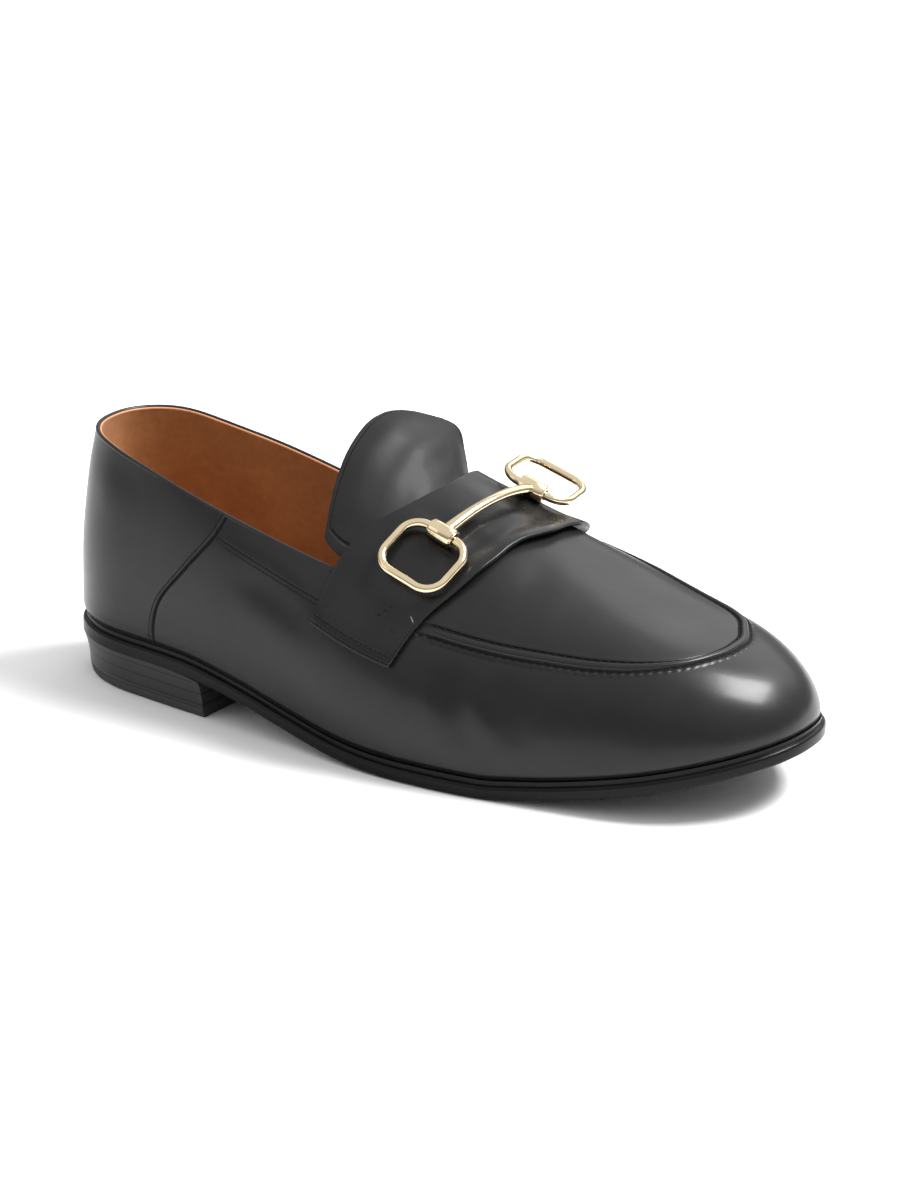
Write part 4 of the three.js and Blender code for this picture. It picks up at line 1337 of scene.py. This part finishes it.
# %% Tan lining
def tan_calf(name, dark, light):
    material, shader, place = new_material(name)
    cloud = place.noise(28.0, 4.0, 0.6)
    fine = place.noise(420.0, 3.0, 0.6)
    pores = place.cells(1500.0)
    colour = (cloud * 0.7 + fine * 0.3).smooth(0.3, 0.72).mix(dark, light)
    connect(
        shader, Base_Color=colour, Roughness=0.52 + (fine - 0.5) * 0.14,
        Normal=(pores.smooth(0.0, 0.5) * 0.4 + fine * 0.6).bump(0.2, 0.00012),
        Sheen_Weight=0.12, Sheen_Roughness=0.5,
    )
    return material


tan_lining = tan_calf("tan_lining", (0.25, 0.096, 0.027, 1), (0.37, 0.155, 0.05, 1))
# Painted highlight: the lining's edge roll is the same tan leather, given a lighter colour for the light on
# the top line.
tan_edge_lit = tan_calf("tan_lining_edge_lit", (0.42, 0.17, 0.065, 1), (0.55, 0.25, 0.105, 1))
tan_sock = tan_calf("tan_sock", (0.30, 0.11, 0.036, 1), (0.43, 0.17, 0.062, 1))


# %% [markdown]
# The sole edge is inked and burnished with hot wax: deep black, glossy, with
# fine lines along it from the iron. The heel stack shows faint layers of
# leather under the ink. The top lift is moulded rubber, matt and pebbled.

# %% Sole edge, heel stack and rubber
def inked_edge(name, rough, gloss, layers):
    material, shader, place = new_material(name)
    lines = place.stretch(0.12, 0.12, 1.0).noise(1500.0, 3.0, 0.6)
    drift = place.noise(60.0, 3.0, 0.5)
    height = lines * 0.6 + drift * 0.4
    colour = drift.mix(grey(0.003), grey(0.006))
    if layers:
        colour = drift.mix(grey(0.016), grey(0.032))
        level = place.out(place.node("ShaderNodeSeparateXYZ", None, Vector=place), "Z")
        layer = (level * (2 * math.pi / 0.0042) + drift * 1.2).sine().smooth(0.86, 1.0)
        height = height - layer * 0.8
        colour = layer.mix(colour, grey(0.006))
    connect(
        shader, Base_Color=colour, Roughness=rough + (drift - 0.5) * 0.14 + (lines - 0.5) * 0.08,
        Normal=height.bump(0.22, 0.00016), Specular_IOR_Level=0.1, Coat_Weight=gloss, Coat_Roughness=0.14,
    )
    return material


def rubber():
    material, shader, place = new_material("black_rubber")
    pebble = place.cells(900.0)
    dust = place.noise(140.0, 4.0, 0.6)
    connect(
        shader, Base_Color=dust.mix(grey(0.014), grey(0.03)), Roughness=0.62 + (dust - 0.5) * 0.2,
        Normal=pebble.bump(0.25, 0.0002),
    )
    return material


sole_edge = inked_edge("inked_sole_edge", 0.3, 0.04, False)
heel_edge = inked_edge("inked_heel_stack", 0.4, 0.35, True)
black_rubber = rubber()


# %% [markdown]
# The metal is plated in a pale champagne gold and polished. Fine hairlines and a
# slight haze keep it from looking like a mirror.

# %% Pale gold
def pale_gold():
    material, shader, place = new_material("pale_gold")
    hair = place.stretch(1.0, 0.15, 1.0).noise(2400.0, 3.0, 0.7)
    haze = place.noise(180.0, 3.0, 0.5)
    connect(
        shader, Base_Color=haze.mix((0.62, 0.50, 0.32, 1), (0.76, 0.63, 0.43, 1)), Metallic=1.0,
        Roughness=0.11 + (haze - 0.5) * 0.08 + (hair - 0.5) * 0.06, Normal=hair.bump(0.06, 0.00005),
    )
    return material


gold = pale_gold()

# %% [markdown]
# Each piece now gets its finish and rides on the shoe's one body; where it
# stands for a solid of the frame, that solid is hidden.

# %% Dress the pieces
DRESS = (
    (upper_leather, calf, "black_leather", "upper"),
    (upper_lining, tan_lining, "tan_leather", "upper"),
    (collar_binding, calf_binding, "black_leather", None),
    (lining_edge, tan_edge_lit, "tan_leather", None),
    (saddle_leather, calf_strap, "black_leather", "saddle"),
    (tongue_leather, calf_tongue, "black_leather", "tongue"),
    (tongue_lining, tan_lining, "tan_leather", "tongue"),
    (outsole_leather, sole_edge, "sole_edge", "outsole"),
    (heel_stack, heel_edge, "sole_edge", "heel_block"),
    (top_lift_rubber, black_rubber, "black_rubber", "top_lift"),
    (insole_sock, tan_sock, "tan_leather", "insole"),
    (link_lateral, gold, "pale_gold", "ornament_link_lateral"),
    (link_medial, gold, "pale_gold", "ornament_link_medial"),
    (bar_metal, gold, "pale_gold", "ornament_bar"),
    (sleeve_lateral, gold, "pale_gold", "ornament_bar"),
    (sleeve_medial, gold, "pale_gold", "ornament_bar"),
    (apron_stitches, black_thread, "black_leather", None),
    (quarter_stitches, black_thread, "black_leather", None),
    (saddle_stitches, black_thread, "black_leather", None),
    (wing_tacks, black_thread, "black_leather", None),
    (wing_slits, raw_edge, "black_leather", None),
    (tongue_stitches, black_thread, "black_leather", None),
)
for piece, finish, slot_name, node in DRESS:
    piece.data.materials.append(finish)
    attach(piece, "root")
    if node:
        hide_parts(node)
print("dressed", len(DRESS), "pieces")

# %% [markdown]
# The studio is a pale floor that reaches far back, a soft light over the toe for
# its shine, one behind and one at the heel. The room is bright above and dim at
# its walls, so the polished metal has something dark to show.

# %% Floor and light
def build_floor():
    bm = bmesh.new()
    bmesh.ops.create_grid(bm, x_segments=1, y_segments=1, size=6.0)
    bmesh.ops.translate(bm, vec=(0, 0, -0.0002), verts=bm.verts)
    return finish_mesh(bm, "studio_floor", smooth=False)


def floor_material():
    material, shader, place = new_material("pale_floor")
    drift = place.noise(3.0, 2.0, 0.5)
    connect(shader, Base_Color=drift.mix((0.86, 0.86, 0.86, 1), (0.9, 0.9, 0.9, 1)), Roughness=0.85)
    return material


floor = build_floor()
floor.data.materials.append(floor_material())


def area_light(name, place, target, size, watts):
    data = bpy.data.lights.new(name, "AREA")
    data.shape = "RECTANGLE"
    data.size, data.size_y = size
    data.energy = watts
    lamp = bpy.data.objects.new(name, data)
    lamp.location = place
    lamp.rotation_euler = (Vector(target) - Vector(place)).to_track_quat("-Z", "Y").to_euler()
    bpy.context.collection.objects.link(lamp)


MIDDLE, TOE = (0.11, 0.0, 0.05), (0.22, -0.02, 0.04)
area_light("toe_softbox", (0.84, 0.44, 1.26), TOE, (0.9, 0.5), 50)
area_light("far_softbox", (0.15, 1.6, 1.05), MIDDLE, (1.6, 0.8), 5)
area_light("side_softbox", (-0.9, -1.2, 0.7), MIDDLE, (0.9, 0.8), 1.8)

world = bpy.data.worlds.new("studio_world")
world.use_nodes = True
background = world.node_tree.nodes["Background"]
sky = Socket(world.node_tree, None)
direction = sky.out(sky.node("ShaderNodeTexCoord"), "Generated")
height = sky.out(sky.node("ShaderNodeSeparateXYZ", None, Vector=direction), "Z")
shade = height.smooth(0.05, 0.75).mix((0.32, 0.32, 0.33, 1), (1.15, 1.15, 1.15, 1))
world.node_tree.links.new(shade.socket, background.inputs["Color"])
background.inputs["Strength"].default_value = 0.9
bpy.context.scene.world = world
bpy.context.scene.view_settings.view_transform = "Standard"

# %% [markdown]
# The camera stands where the photographer stood: about thirty degrees in front
# of the side and twenty above, far away with a long lens. It is aimed at the
# middle of the one shoe.

# %% Camera
AZIMUTH, ELEVATION, DISTANCE = math.radians(30.4), math.radians(20.0), 1.581
FOCAL_PIXELS, PHOTO_WIDTH, SENSOR, CLOSER = 2.4 * 1581, 900, 36.0, 1.2
SHOE_MIDDLE, AIM_RIGHT, AIM_UP = Vector((0.1105, 0, 0.035)), 0.0032, 0.010
back = Vector((
    math.sin(AZIMUTH) * math.cos(ELEVATION), -math.cos(AZIMUTH) * math.cos(ELEVATION), math.sin(ELEVATION)
))
right = Vector((math.cos(AZIMUTH), math.sin(AZIMUTH), 0))
upward = back.cross(right)
aim = SHOE_MIDDLE + right * AIM_RIGHT + upward * AIM_UP
data = bpy.data.cameras.new("camera")
data.sensor_fit = "HORIZONTAL"
data.sensor_width = SENSOR
data.lens = FOCAL_PIXELS / PHOTO_WIDTH * SENSOR * CLOSER
camera = bpy.data.objects.new("camera", data)
turned = Matrix((right, upward, back)).transposed().to_4x4()
camera.matrix_world = Matrix.Translation(aim + back * DISTANCE) @ turned
bpy.context.collection.objects.link(camera)
bpy.context.scene.camera = camera
print("lens", round(data.lens, 1), "mm")
